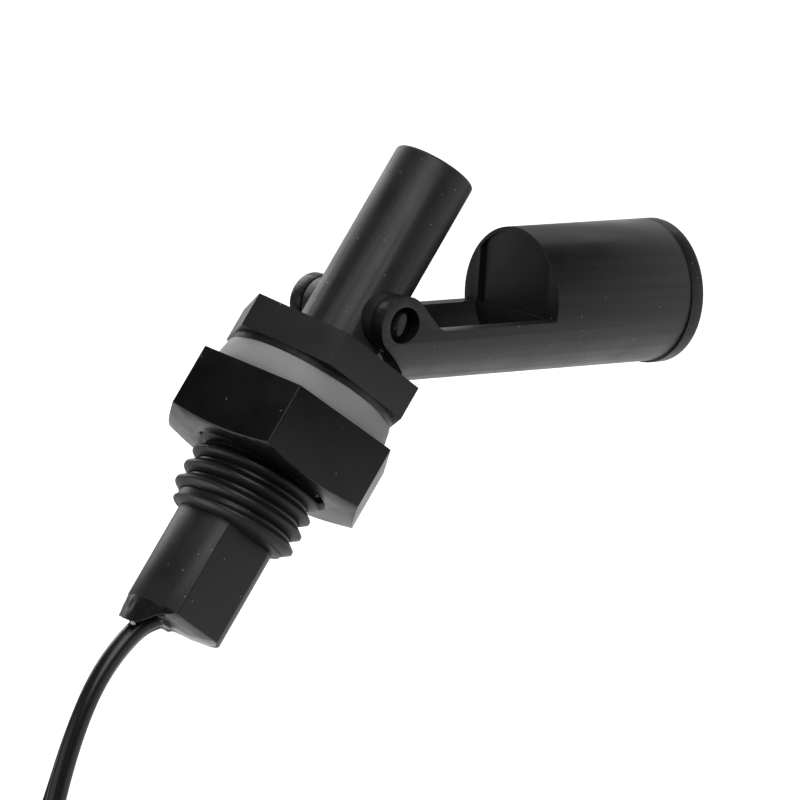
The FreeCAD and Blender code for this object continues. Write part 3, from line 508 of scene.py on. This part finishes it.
def thread_tree():
    """A rounded ridge swept along a helix about Z, fading out at its first end."""
    tree = geometry_tree("HelixRidge", [
        ("Root Radius", "NodeSocketFloat", 6.85 * MM),
        ("Pitch", "NodeSocketFloat", 2.0 * MM),
        ("Turns", "NodeSocketFloat", 9.0),
        ("Ridge Height", "NodeSocketFloat", 1.05 * MM),
        ("Foot Width", "NodeSocketFloat", 1.95 * MM),
        ("Crest Width", "NodeSocketFloat", 0.35 * MM),
        ("Crest Rounding", "NodeSocketFloat", 0.15 * MM),
        ("Run-out Turns", "NodeSocketFloat", 0.6),
        ("Material", "NodeSocketMaterial", None),
    ])
    start = add_node(tree, "NodeGroupInput")
    rise = maths(tree, "MULTIPLY", (start, "Pitch"), (start, "Turns"))
    helix = add_node(tree, "GeometryNodeCurveSpiral", [
        ("Rotations", start, "Turns"), ("Start Radius", start, "Root Radius"),
        ("End Radius", start, "Root Radius"), ("Height", rise, "Value")],
        Resolution=72, Reverse=True)
    upright = add_node(tree, "GeometryNodeSetCurveNormal", [("Curve", helix, "Curve")], mode="Z_UP")
    section = add_node(tree, "GeometryNodeCurvePrimitiveQuadrilateral", [
        ("Height", start, "Ridge Height"), ("Bottom Width", start, "Foot Width"),
        ("Top Width", start, "Crest Width")], mode="TRAPEZOID", Offset=0.0)
    softened = add_node(tree, "GeometryNodeFilletCurve", [
        ("Curve", section, "Curve"), ("Radius", start, "Crest Rounding")],
        mode="POLY", Count=4, Limit_Radius=True)
    half_height = maths(tree, "MULTIPLY", (start, "Ridge Height"), 0.5)
    above_root = add_node(tree, "ShaderNodeCombineXYZ", [("X", half_height, "Value")])
    raised = add_node(tree, "GeometryNodeTransform", [
        ("Geometry", softened, "Curve"), ("Translation", above_root, "Vector")],
        Rotation=(0.0, 0.0, -math.pi / 2))
    along = add_node(tree, "GeometryNodeSplineParameter")
    turned = maths(tree, "MULTIPLY", (along, "Factor"), (start, "Turns"))
    run_out = add_node(tree, "ShaderNodeMapRange", [
        ("Value", turned, "Value"), ("From Max", start, "Run-out Turns")],
        interpolation_type="SMOOTHSTEP", To_Min=0.05)
    ridge = add_node(tree, "GeometryNodeCurveToMesh", [
        ("Curve", upright, "Curve"), ("Profile Curve", raised, "Geometry"),
        ("Scale", run_out, "Result")], Fill_Caps=True)
    smooth = add_node(tree, "GeometryNodeSetShadeSmooth", [("Geometry", ridge, "Mesh")])
    end_of_tree(tree, smooth, "Geometry", start)
    return tree


def strand_tree():
    """Fine wires twisted round each other along Z."""
    tree = geometry_tree("TwistedStrands", [
        ("Strands", "NodeSocketInt", 7),
        ("Lay Radius", "NodeSocketFloat", 0.33 * MM),
        ("Strand Radius", "NodeSocketFloat", 0.17 * MM),
        ("Length", "NodeSocketFloat", 6.0 * MM),
        ("Material", "NodeSocketMaterial", None),
    ])
    start = add_node(tree, "NodeGroupInput")
    strand = add_node(tree, "GeometryNodeCurveSpiral", [
        ("Start Radius", start, "Lay Radius"), ("End Radius", start, "Lay Radius"),
        ("Height", start, "Length")], Resolution=24, Rotations=0.8)
    section = add_node(tree, "GeometryNodeCurvePrimitiveCircle",
                       [("Radius", start, "Strand Radius")], Resolution=10)
    wire = add_node(tree, "GeometryNodeCurveToMesh", [
        ("Curve", strand, "Curve"), ("Profile Curve", section, "Curve")], Fill_Caps=True)
    places = add_node(tree, "GeometryNodeMeshLine", [("Count", start, "Strands")],
                      Offset=(0.0, 0.0, 0.0))
    number = add_node(tree, "GeometryNodeInputIndex")
    share = maths(tree, "DIVIDE", (number, "Index"), (start, "Strands"))
    turn = maths(tree, "MULTIPLY", (share, "Value"), 2 * math.pi)
    about_z = add_node(tree, "ShaderNodeCombineXYZ", [("Z", turn, "Value")])
    copies = add_node(tree, "GeometryNodeInstanceOnPoints", [
        ("Points", places, "Mesh"), ("Instance", wire, "Mesh"), ("Rotation", about_z, "Vector")])
    end_of_tree(tree, copies, "Instances", start)
    return tree


# ---------------------------------------------------------------- routes of the leads
PAIR_ANGLE = math.radians(50.4)
PAIR_OUT = Vector((0.0, math.cos(PAIR_ANGLE), math.sin(PAIR_ANGLE)))
PAIR_SIDE = Vector((0.0, -PAIR_OUT.z, PAIR_OUT.y))
LEAD_GAP = 0.12 * MM


def half_pair():
    """Half the spacing of the two leads."""
    return (sizes().lead_diameter + LEAD_GAP) / 2


def pair_point(along, out, side):
    """A point on one lead near the stem, in millimetres along X and across the stem."""
    return Vector((along * MM, 0, 0)) + PAIR_OUT * (out * MM) + PAIR_SIDE * (side * half_pair())


def side_way(turned_share, side):
    """Half the pair's spacing, turning from the stem's pair direction to the coil's -Y."""
    start = PAIR_ANGLE + math.pi / 2
    angle = start + turned_share * (math.pi - start)
    return Vector((0, math.cos(angle), math.sin(angle))) * (side * half_pair())


def open_stretch(side):
    """The lead's points from its joint in the potting to the coil."""
    coil_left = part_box("lead_coil")[0].x + sizes().lead_diameter / 2

    def point(x, y, z, turned_share):
        return Vector((x * MM, y * MM, z * MM)) + side_way(turned_share, side)

    return [
        pair_point(-25.5, -1.3, side),
        pair_point(-29.3, -1.3, side),
        pair_point(-32.3, 2.1, side),
        pair_point(-34.9, 3.4, side),
        point(-41.0, 2.1, 3.7, 0.0),
        point(-48.0, 2.0, 2.75, 0.0),
        point(-56.0, 2.0, 0.25, 0.15),
        point(-63.0, 1.7, -2.0, 0.9),
        Vector((coil_left, 0.6 * MM, -17.0 * MM)) + side_way(0.95, side),
        Vector((coil_left - 0.4 * MM, 0.1 * MM, -26.0 * MM)) + side_way(1.0, side),
    ]


def coil_end(side):
    """Place and direction of one lead's end, inside the coil."""
    low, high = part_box("lead_coil")
    inner = (high.x - low.x) / 2 - (sizes().coil_turns + 1) * sizes().lead_diameter
    angle = math.radians(230.0 - 15.0 * side)
    lean = math.radians(25.0)
    outward = Vector((math.cos(angle), 0, math.sin(angle)))
    onward = Vector((-outward.z, 0, outward.x))
    foot = (low + high) / 2 + outward * (inner - 0.6 * MM) + side_way(1.0, side)
    return foot, onward * math.cos(lean) - outward * math.sin(lean), angle - math.pi


def coil_stretch(side):
    """Turns of the put-away coil, each a diameter inside the one before."""
    low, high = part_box("lead_coil")
    middle = (low + high) / 2
    thick = sizes().lead_diameter
    outer = (high.x - low.x) / 2 - thick / 2
    turns = sizes().coil_turns
    foot, _onward, last_angle = coil_end(side)
    last = turns + last_angle / (2 * math.pi)
    inner = (foot - middle - side_way(1.0, side)).length
    per_turn = 16  # points of the route
    points = []
    for step in range(int(last * per_turn)):
        share = step / per_turn
        radius = outer - min(share, turns) * thick
        if share > turns:
            radius += (inner - radius) * (share - turns) / (last - turns)
        angle = math.pi + 2 * math.pi * share
        place = Vector((math.cos(angle), 0, math.sin(angle))) * radius
        points.append(middle + place + side_way(1.0, side))
    return points + [foot]


def lead_curve(name, points, thick):
    """A smooth round lead whose route's points are its control points."""
    curve = bpy.data.curves.new(name, "CURVE")
    curve.dimensions = "3D"
    line = curve.splines.new("NURBS")
    line.points.add(len(points) - 1)
    for knot, place in zip(line.points, points):
        knot.co = (*place, 1.0)
    line.order_u = 3
    line.use_endpoint_u = True
    line.resolution_u = 8
    curve.bevel_depth = thick / 2
    curve.bevel_resolution = 8
    curve.use_fill_caps = True
    curve.materials.append(material("black_pvc"))
    return new_object(name, curve)


# ---------------------------------------------------------------- camera, lamps, floor, world
# The camera looks from in front, above and a little to the left, turned on its own axis.
VIEW_AZIMUTH = math.radians(-15.05)
VIEW_HEIGHT = math.radians(38.59)
VIEW_ROLL = math.radians(50.63)
VIEW_DISTANCE = 0.7
VIEW_TARGET = Vector((3.54, -6.81, -7.085)) * MM
VIEW_WIDTH = 91.32 * MM


def view_axes():
    """Right, up and backward directions of the camera."""
    back = Vector((math.sin(VIEW_AZIMUTH) * math.cos(VIEW_HEIGHT),
                   -math.cos(VIEW_AZIMUTH) * math.cos(VIEW_HEIGHT), math.sin(VIEW_HEIGHT)))
    level_right = Vector((math.cos(VIEW_AZIMUTH), math.sin(VIEW_AZIMUTH), 0.0))
    level_up = back.cross(level_right)
    up = level_up * math.cos(VIEW_ROLL) + level_right * math.sin(VIEW_ROLL)
    return up.cross(back), up, back


def facing(place, back, up):
    """A placement at a point whose local Z is the backward direction."""
    right = up.cross(back).normalized()
    true_up = back.cross(right)
    turn = Matrix((right, true_up, back)).transposed().to_4x4()
    return Matrix.Translation(place) @ turn


def build_camera(scene):
    """A camera at the view's distance and width."""
    _right, up, back = view_axes()
    data = bpy.data.cameras.new("Camera")
    data.sensor_width = 36.0
    data.lens = data.sensor_width * VIEW_DISTANCE / VIEW_WIDTH
    data.clip_start = 0.01
    data.clip_end = 20.0
    camera = new_object("Camera", data)
    camera.matrix_world = facing(VIEW_TARGET + back * VIEW_DISTANCE, back, up)
    scene.camera = camera


def add_lamp(name, direction, width, height, power):
    """A rectangular softbox that faces the object from one direction."""
    data = bpy.data.lights.new(name, "AREA")
    data.shape = "RECTANGLE"
    data.size = width
    data.size_y = height
    data.energy = power
    back = direction.normalized()
    place = VIEW_TARGET + back * LAMP_DISTANCE
    new_object(name, data).matrix_world = facing(place, back, view_axes()[1])


LAMP_DISTANCE = 0.6
# Softboxes round the object: name, direction from it, width and height in metres, watts.
SOFTBOXES = (
    ("KeySoftbox", (0.354, -0.612, 0.707), 0.42, 0.42, 1.41),
    ("BackSoftbox", (0.37, 0.91, 0.17), 0.4, 0.4, 1.1),
    ("StemEndSoftbox", (-0.91, 0.37, 0.17), 0.4, 0.4, 0.78),
    ("TubeTipSoftbox", (0.707, 0.0, 0.707), 0.42, 0.42, 0.52),
    ("TubeTipFill", (0.91, 0.37, 0.17), 0.4, 0.4, 0.39),
    ("OverheadFill", (-0.53, 0.305, 0.707), 0.6, 0.42, 0.54),
)


def build_lamps():
    """Softboxes round and above the object, none of them in the view."""
    for name, direction, width, height, power in SOFTBOXES:
        add_lamp(name, Vector(direction), width, height, power)


def seen_directly(tree, path):
    """One for the camera's rays and for those through glass, otherwise nothing."""
    return maths(tree, "MAXIMUM", (path, "Is Camera Ray"), (path, "Is Transmission Ray"))


# The floor: how far it lies under the object, its half width, and its glow: whole for what
# the camera sees, and a share of it for what the gloss reflects.
FLOOR_DROP = 0.25
FLOOR_HALF = 3.0
FLOOR_GLOW = (0.75, 0.75, 0.75, 1.0)
FLOOR_GLOSS_SHARE = 0.45


def build_floor():
    """A pale floor well below the hanging object."""
    low, high = Vector(CAD_BOX[0]), Vector(CAD_BOX[1])
    middle = (low + high) / 2
    middle.z = low.z - FLOOR_DROP
    work = bmesh.new()
    bmesh.ops.create_grid(work, x_segments=1, y_segments=1, size=FLOOR_HALF,
                          matrix=Matrix.Translation(middle))
    mesh = bpy.data.meshes.new("StudioFloor")
    work.to_mesh(mesh)
    work.free()
    floor = new_object("StudioFloor", mesh)
    surface = bpy.data.materials.new("studio_floor")
    surface.use_nodes = True
    tree = surface.node_tree
    tree.nodes.clear()
    path = add_node(tree, "ShaderNodeLightPath")
    seen = seen_directly(tree, path)
    in_gloss = maths(tree, "MULTIPLY", (path, "Is Glossy Ray"), FLOOR_GLOSS_SHARE)
    through = maths(tree, "MAXIMUM", (seen, "Value"), (in_gloss, "Value"))
    paint = add_node(tree, "ShaderNodeBsdfDiffuse", Color=(*colours().backdrop, 1.0))
    glow = add_node(tree, "ShaderNodeEmission", [("Strength", through, "Value")],
                    Color=FLOOR_GLOW)
    both = add_node(tree, "ShaderNodeAddShader")
    tree.links.new(paint.outputs["BSDF"], both.inputs[0])
    tree.links.new(glow.outputs["Emission"], both.inputs[1])
    add_node(tree, "ShaderNodeOutputMaterial", [("Surface", both, "Shader")])
    mesh.materials.append(surface)


# The world's soft glow: where it is brightest, the cosines between which it rises, and its
# lowest and highest strength.
GLOW_WAY = (-0.45, 0.15, -0.88)
GLOW_SPREAD = (-0.1, 0.65)
GLOW_LEVELS = (0.04, 0.66)


def build_world(scene):
    """White all round for the camera and through glass; a soft glow from low down on the rest."""
    world = bpy.data.worlds.new("Studio")
    scene.world = world
    world.use_nodes = True
    tree = world.node_tree
    tree.nodes.clear()
    path = add_node(tree, "ShaderNodeLightPath")
    place = add_node(tree, "ShaderNodeTexCoord")
    low_down = add_node(tree, "ShaderNodeVectorMath", [(0, place, "Generated")],
                        operation="DOT_PRODUCT")
    low_down.inputs[1].default_value = GLOW_WAY
    lit = add_node(tree, "ShaderNodeMapRange", [("Value", low_down, "Value")],
                   interpolation_type="SMOOTHSTEP",
                   From_Min=GLOW_SPREAD[0], From_Max=GLOW_SPREAD[1],
                   To_Min=GLOW_LEVELS[0], To_Max=GLOW_LEVELS[1])
    seen = seen_directly(tree, path)
    shown = maths(tree, "MAXIMUM", (seen, "Value"), (lit, "Result"))
    sky = add_node(tree, "ShaderNodeBackground", [("Strength", shown, "Value")],
                   Color=(1.0, 1.0, 1.0, 1.0))
    add_node(tree, "ShaderNodeOutputWorld", [("Surface", sky, "Background")])


# ---------------------------------------------------------------- operators
class SWITCH_OT_stage(bpy.types.Operator):
    """Camera, lamps, floor and world"""

    bl_idname = "switch.stage"
    bl_label = "Build the stage"

    def execute(self, context):
        scene = context.scene
        scene.view_settings.view_transform = "Standard"
        build_camera(scene)
        build_lamps()
        build_floor()
        build_world(scene)
        return {"FINISHED"}


STRIP_LENGTH = 6.0 * MM
STRIP_OVERLAP = 0.5 * MM


class SWITCH_OT_leads(bpy.types.Operator):
    """Two insulated leads, their tied coil and their tinned ends"""

    bl_idname = "switch.leads"
    bl_label = "Build the leads"

    def execute(self, context):
        thick = sizes().lead_diameter
        tree = strand_tree()
        for name, side in SIDES:
            points = open_stretch(side) + coil_stretch(side)
            lead = lead_curve(f"insulated_lead_{name}", points, thick)
            nodes = [f"lead_{name}"] + (["lead_coil"] if name == "near" else [])
            seat(lead, "sensor", "wire_pvc", *nodes)
            tip = self.strands(name, side, tree)
        NODES["coil_tie"].data.materials.clear()
        NODES["coil_tie"].data.materials.append(material("tie_nylon"))
        return {"FINISHED"}

    def strands(self, name, side, tree):
        """Twisted strands in place of one tinned end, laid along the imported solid's axis."""
        foot, onward, _angle = coil_end(side)
        bundle = run_tree(f"tinned_strands_{name}", tree, {
            "Strands": sizes().strands, "Length": STRIP_LENGTH + STRIP_OVERLAP}, "tinned_copper")
        turn = onward.to_track_quat("Z", "Y").to_matrix().to_4x4()
        bundle.data.transform(Matrix.Translation(foot - onward * STRIP_OVERLAP) @ turn)
        return seat(bundle, "sensor", "tinned_copper", f"wire_tip_{name}")


# Where the moulded body's thread stops: the stem behind it, and the gap to the sealing face.
STEM_LENGTH = 12.4 * MM
THREAD_GAP = 0.35 * MM
THREAD_START_TURN = 80.0
# The hinge pins: the zone round the pivot and outside the boss that holds nothing else, the
# foot of the tapered end, the half sizes in mm of its round foot and its oval land, and the
# land's turn about the hinge.
PIN_ZONE = 2.25 * MM
BOSS_REACH = 6.45 * MM
PIN_FOOT = 6.7 * MM
PIN_FOOT_HALVES = (1.75, 1.0)
PIN_RIM_HALVES = (1.42, 0.6)
PIN_LAND_HALVES = (1.32, 0.5)
PIN_LAND_TURN = 15.0


class SWITCH_OT_body(bpy.types.Operator):
    """Moulded sensor body with its swept thread"""

    bl_idname = "switch.body"
    bl_label = "Build the sensor body"

    def execute(self, context):
        size = sizes()
        thread_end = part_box("sensor_body")[0].x + STEM_LENGTH
        head = cad_copy("sensor_body")
        cut_away(head, -0.25 * MM, keep_above=True)
        pin_end = max(abs(vert.co.y) for vert in head.verts if self.on_pin(vert.co))
        self.shorten_pins(head, PIN_FOOT)
        head = bevelled("head", head, size.edge_round, "black_nylon")
        ends = [self.pin_end(side, pin_end) for _name, side in SIDES]
        stem = cad_copy("sensor_body")
        cut_away(stem, thread_end - 0.3 * MM, keep_above=False)
        stem = bevelled("stem", stem, size.edge_round * 0.6, "black_nylon")
        core = bmesh.new()
        root = size.thread_root
        lathe(core, [(0.2 * MM, 0), (0.2 * MM, root), (thread_end - 0.05 * MM, root),
                     (thread_end - 0.4 * MM, root - 0.75 * MM), (thread_end - 0.4 * MM, 0)])
        core = bevelled("core", core, 0.05 * MM, "black_nylon")
        ridge = self.ridge(size, thread_end)
        body = joined("moulded_sensor_body", [head, stem, core, ridge, *ends])
        seat(body, "sensor", "black_nylon", "sensor_body")
        return {"FINISHED"}

    def on_pin(self, place):
        """Whether a point lies on a hinge pin, outside its boss."""
        return abs(place.x - PIVOT.x) < PIN_ZONE and abs(place.y) > BOSS_REACH

    def shorten_pins(self, work, reach):
        """Cut both hinge pins back to the foot of their tapered ends."""
        for way in (1.0, -1.0):
            faces = [face for face in work.faces
                     if all(self.on_pin(vert.co) and vert.co.y * way > 0 for vert in face.verts)]
            edges = {edge for face in faces for edge in face.edges}
            verts = {vert for face in faces for vert in face.verts}
            done = bmesh.ops.bisect_plane(
                work, geom=list(verts) + list(edges) + faces, dist=1e-7,
                plane_co=(0, way * reach, 0), plane_no=(0, way, 0), clear_outer=True)
            close_cut(work, done, (0, way, 0))

    def pin_end(self, side, reach):
        """The tapered end of one hinge pin: a round foot that narrows to a long oval land."""
        work = bmesh.new()
        steps = 64
        lean = math.radians(PIN_LAND_TURN)
        levels = ((PIN_FOOT - 0.05 * MM, PIN_FOOT_HALVES), (PIN_FOOT, PIN_FOOT_HALVES),
                  (reach - 0.1 * MM, PIN_RIM_HALVES), (reach, PIN_LAND_HALVES))
        rings = []
        for level, (long_half, short_half) in levels:
            ring = []
            for step in range(steps):
                turn = 2 * math.pi * step / steps
                along, across = long_half * math.cos(turn), short_half * math.sin(turn)
                ring.append(work.verts.new((
                    PIVOT.x + (along * math.cos(lean) - across * math.sin(lean)) * MM,
                    side * level,
                    PIVOT.z + (along * math.sin(lean) + across * math.cos(lean)) * MM)))
            rings.append(ring)
        for first, second in zip(rings, rings[1:]):
            bridge(work, first, second)
        work.faces.new(rings[0])
        work.faces.new(rings[-1])
        bmesh.ops.recalc_face_normals(work, faces=work.faces)
        return bevelled("pin_end", work, 0.06 * MM, "black_nylon", angle=35.0)

    def ridge(self, size, thread_end):
        """The right-hand thread, from its run-out up to the sealing face."""
        first_place = thread_end - 0.28 * MM
        turns = (-first_place - THREAD_GAP) / size.thread_pitch
        ridge = run_tree("thread_ridge", thread_tree(), {
            "Root Radius": size.thread_root, "Pitch": size.thread_pitch, "Turns": turns,
            "Ridge Height": size.thread_height, "Crest Rounding": size.crest_round}, "black_nylon")
        along_x = Matrix.Rotation(math.radians(90.0), 4, "Y")
        first_turn = Matrix.Rotation(math.radians(THREAD_START_TURN), 4, "X")
        ridge.data.transform(Matrix.Translation((first_place, 0, 0)) @ first_turn @ along_x)
        return ridge


class SWITCH_OT_fastening(bpy.types.Operator):
    """Lock nut and sealing gasket"""

    bl_idname = "switch.fastening"
    bl_label = "Build the nut and gasket"

    def execute(self, context):
        nut = bevelled("hex_lock_nut", cad_copy("lock_nut"), sizes().sharp_round, "black_nylon_nut")
        seat(nut, "sensor", "black_nylon", "lock_nut")
        washer = bevelled("squeezed_gasket", cad_copy("sealing_gasket"), 0.12 * MM, "grey_silicone",
                          angle=40.0)
        seat(washer, "sensor", "grey_silicone", "sealing_gasket")
        return {"FINISHED"}


class SWITCH_OT_float(bpy.types.Operator):
    """Hinged float arm and its end cap"""

    bl_idname = "switch.float_arm"
    bl_label = "Build the float"

    def execute(self, context):
        arm = bevelled("moulded_float_arm", cad_copy("float_arm"), sizes().edge_round * 0.8,
                       "black_nylon_float")
        seat(arm, "float", "black_nylon", "float_arm")
        cap = bevelled("welded_end_cap", cad_copy("float_end_cap"), 0.1 * MM, "black_nylon_float")
        seat(cap, "float", "black_nylon", "float_end_cap")
        return {"FINISHED"}


# How far the spilt resin hangs past the stem's end, at angles from the leads' side: degrees, mm.
LIP_HANG = ((-50, 0.4), (-35, 1.6), (-15, 2.3), (0, 2.4), (15, 2.6), (30, 2.9), (40, 3.1),
            (50, 3.0), (60, 2.2), (68, 1.4), (75, 0.8), (85, 0.3), (88, 0.05))
# The pale speck under the lip, a painted highlight where the lip's lower edge catches the light:
# its angle, its distance from the axis and its half sizes along, across and out from the
# stem, in mm.
HIGHLIGHT_SPECK_ANGLE = 47.0
HIGHLIGHT_SPECK_RADIUS = 5.55
HIGHLIGHT_SPECK_HALVES = (0.24, 0.42, 0.2)
# The lip's wall, in mm: outer radius at the stem and how far it draws in, and its thickness
# at the stem and how much thinner it is at the edge.
LIP_RADIUS, LIP_DRAW_IN = 5.93, 0.25
LIP_THICK, LIP_THINNING = 0.85, 0.5
# The film, in mm: its radius and its distance to the stem's flat, the dome's rise, the
# meniscus's rise and reach, and how far the leads leave from the stem's axis.
FILM_RADIUS, FILM_FLAT = 5.55, 4.8
FILM_DOME = 0.6
MENISCUS_RISE, MENISCUS_REACH = 0.5, 0.3
LEADS_OUT = 1.25
FLAT_ANGLE = math.radians(175.0)


def lip_hang(angle):
    """The lip's hang at one angle, read between the listed ones."""
    for (first, low), (second, high) in zip(LIP_HANG, LIP_HANG[1:]):
        if angle <= second:
            return (low + (high - low) * (angle - first) / (second - first)) * MM
    return LIP_HANG[-1][1] * MM


class SWITCH_OT_potting(bpy.types.Operator):
    """Potting resin with its ragged spilt lip and the glossy film round the leads"""

    bl_idname = "switch.potting"
    bl_label = "Build the potting"

    def execute(self, context):
        end_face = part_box("sensor_body")[0].x
        plug = cad_copy("potting_plug")
        cut_away(plug, end_face + 0.02 * MM, keep_above=True)
        plug = bevelled("plug", plug, 0.05 * MM, "black_resin")
        resin = joined("potting_resin", [plug, self.lip(end_face)])
        seat(resin, "sensor", "resin", "potting_plug")
        seat(self.film(end_face), "sensor", "resin")
        # The pale speck under the lip is a painted highlight.
        seat(self.highlight_speck(end_face), "sensor", "resin")
        return {"FINISHED"}

    def lip(self, end_face):
        """A torn sheet of resin that carries on the stem's wall, thinner towards its edge."""
        work = bmesh.new()
        columns, rows = 138, 10
        loops = []
        for column in range(columns + 1):
            angle = LIP_HANG[0][0] + (LIP_HANG[-1][0] - LIP_HANG[0][0]) * column / columns
            ragged = min(1.0, max(0.0, (60 - angle) / 20))
            tear = noise.noise(Vector((angle / 4.0, 0.3, 0))) * 0.5
            tear += noise.noise(Vector((angle / 1.7, 4.1, 0))) * 0.25
            hang = lip_hang(angle) * (1.0 + 0.16 * tear * ragged)
            turned = PAIR_ANGLE + math.radians(angle)
            around = Vector((0, math.cos(turned), math.sin(turned)))
            outer, inner = [], []
            for row in range(rows + 1):
                share = row / rows
                crease = noise.noise(Vector((angle / 9.0, share * 3.0, 2.0))) * 0.07 * MM
                swell = math.sin(math.pi * min(1.0, share * 1.2))
                radius = (LIP_RADIUS - LIP_DRAW_IN * share) * MM + crease * swell
                edge = math.sqrt(max(0.05, 1.0 - share ** 6))
                thick = (LIP_THICK - LIP_THINNING * share) * MM * edge
                along = Vector((end_face + 0.05 * MM - (hang + 0.05 * MM) * share, 0, 0))
                outer.append(work.verts.new(along + around * radius))
                inner.append(work.verts.new(along + around * (radius - thick)))
            loops.append(outer + inner[::-1])
        for first, second in zip(loops, loops[1:]):
            bridge(work, first, second)
        for loop in (loops[0], loops[-1]):
            work.faces.new(loop)
        bmesh.ops.recalc_face_normals(work, faces=work.faces)
        return bevelled("lip", work, 0.04 * MM, "black_resin", angle=50.0)

    def film(self, end_face):
        """A glossy dark skin over the end, drawn up in a meniscus round each lead."""
        work = bmesh.new()
        rings, steps = 26, 96
        faces_out, faces_in = [], []
        for ring in range(rings + 1):
            top, under = [], []
            for step in range(steps):
                angle = 2 * math.pi * step / steps
                flat_side = math.cos(angle + PAIR_ANGLE - FLAT_ANGLE)
                spread = min(FILM_RADIUS, FILM_FLAT / max(flat_side, 0.1)) * MM
                radius = spread * max(ring, 0.02) / rings
                out, side = radius * math.cos(angle), radius * math.sin(angle)
                rise = 0.12 * MM + FILM_DOME * MM * (1.0 - (ring / rings) ** 2)
                rise += 0.05 * MM * noise.noise(Vector((out, side, 0)) * 700.0)
                for _name, which in SIDES:
                    gap = math.hypot((out - LEADS_OUT * MM) / 1.4, side - which * half_pair())
                    past = max(0.0, gap - 1.0 * MM)
                    rise += MENISCUS_RISE * MM * math.exp(-past / (MENISCUS_REACH * MM))
                rise *= math.sqrt(max(0.0, 1.0 - (ring / rings) ** 10))
                place = PAIR_OUT * out + PAIR_SIDE * side
                top.append(work.verts.new(Vector((end_face - rise, 0, 0)) + place))
                under.append(work.verts.new(Vector((end_face + 0.03 * MM, 0, 0)) + place))
            faces_out.append(top)
            faces_in.append(under)
        for level in (faces_out, faces_in):
            work.faces.new(level[0])
            for first, second in zip(level, level[1:]):
                bridge(work, first, second)
        bridge(work, faces_out[-1], faces_in[-1])
        bmesh.ops.recalc_face_normals(work, faces=work.faces)
        return bevelled("resin_film", work, 0.01 * MM, "glossy_resin", angle=60.0)

    def highlight_speck(self, end_face):
        """A small pale speck at the lowest point of the lip: a painted highlight where its edge
        catches the light.
        """
        work = bmesh.new()
        turned = PAIR_ANGLE + math.radians(HIGHLIGHT_SPECK_ANGLE)
        around = Vector((0, math.cos(turned), math.sin(turned)))
        across = Vector((0, -around.z, around.y))
        middle = Vector((end_face - lip_hang(HIGHLIGHT_SPECK_ANGLE) - 0.05 * MM, 0, 0))
        middle += around * HIGHLIGHT_SPECK_RADIUS * MM
        made = bmesh.ops.create_icosphere(work, subdivisions=2, radius=1.0)
        for vert in made["verts"]:
            rough = 1.0 + 0.35 * noise.noise(vert.co * 2.3)
            x, y, z = vert.co * rough
            vert.co = (middle + Vector((x, 0, 0)) * HIGHLIGHT_SPECK_HALVES[0] * MM
                       + across * (y * HIGHLIGHT_SPECK_HALVES[1] * MM) + around * (z * HIGHLIGHT_SPECK_HALVES[2] * MM))
        bmesh.ops.recalc_face_normals(work, faces=work.faces)
        return bevelled("painted_highlight_speck", work, 0.01 * MM, "highlight_speck_paint", angle=60.0)


class SWITCH_OT_insides(bpy.types.Operator):
    """Finishes of the reed switch, splices and magnet inside the housings"""

    bl_idname = "switch.insides"
    bl_label = "Finish the inner parts"

    def execute(self, context):
        finishes = {
            "arm_magnet": "dark_ferrite",
            "reed_glass": "clear_glass",
            "reed_cushion": "grey_silicone",
            "reed_blade": "reed_alloy",
            "splice_sleeve": "shrink_sleeve",
            "splice": "solder",
            "inner_lead": "black_pvc",
        }
        for name, node in NODES.items():
            kind = name.removesuffix("_near").removesuffix("_far")
            if kind in finishes:
                node.data.materials.clear()
                node.data.materials.append(material(finishes[kind]))
        return {"FINISHED"}


class SWITCH_PT_panel(bpy.types.Panel):
    """Lists the steps that build the float switch"""

    bl_idname = "SWITCH_PT_panel"
    bl_label = "Float Level Switch"
    bl_space_type = "VIEW_3D"
    bl_region_type = "UI"
    bl_category = "Float Switch"

    def draw(self, context):
        column = self.layout.column()
        for step in STEPS:
            column.operator(step.bl_idname)
        for group in (context.scene.switch_sizes, context.scene.switch_colours):
            for name in group.bl_rna.properties.keys():
                if name not in ("rna_type", "name"):
                    column.prop(group, name)


STEPS = (SWITCH_OT_stage, SWITCH_OT_leads, SWITCH_OT_body, SWITCH_OT_fastening,
         SWITCH_OT_float, SWITCH_OT_potting, SWITCH_OT_insides)
CLASSES = (SwitchSizes, SwitchColours, *STEPS, SWITCH_PT_panel)


def register():
    for item in CLASSES:
        bpy.utils.register_class(item)
    bpy.types.Scene.switch_sizes = bpy.props.PointerProperty(type=SwitchSizes)
    bpy.types.Scene.switch_colours = bpy.props.PointerProperty(type=SwitchColours)


def unregister():
    del bpy.types.Scene.switch_colours
    del bpy.types.Scene.switch_sizes
    for item in reversed(CLASSES):
        bpy.utils.unregister_class(item)


def main():
    register()
    for step in STEPS:
        group, call = step.bl_idname.split(".")
        getattr(getattr(bpy.ops, group), call)()


if __name__ == "__main__":
    main()
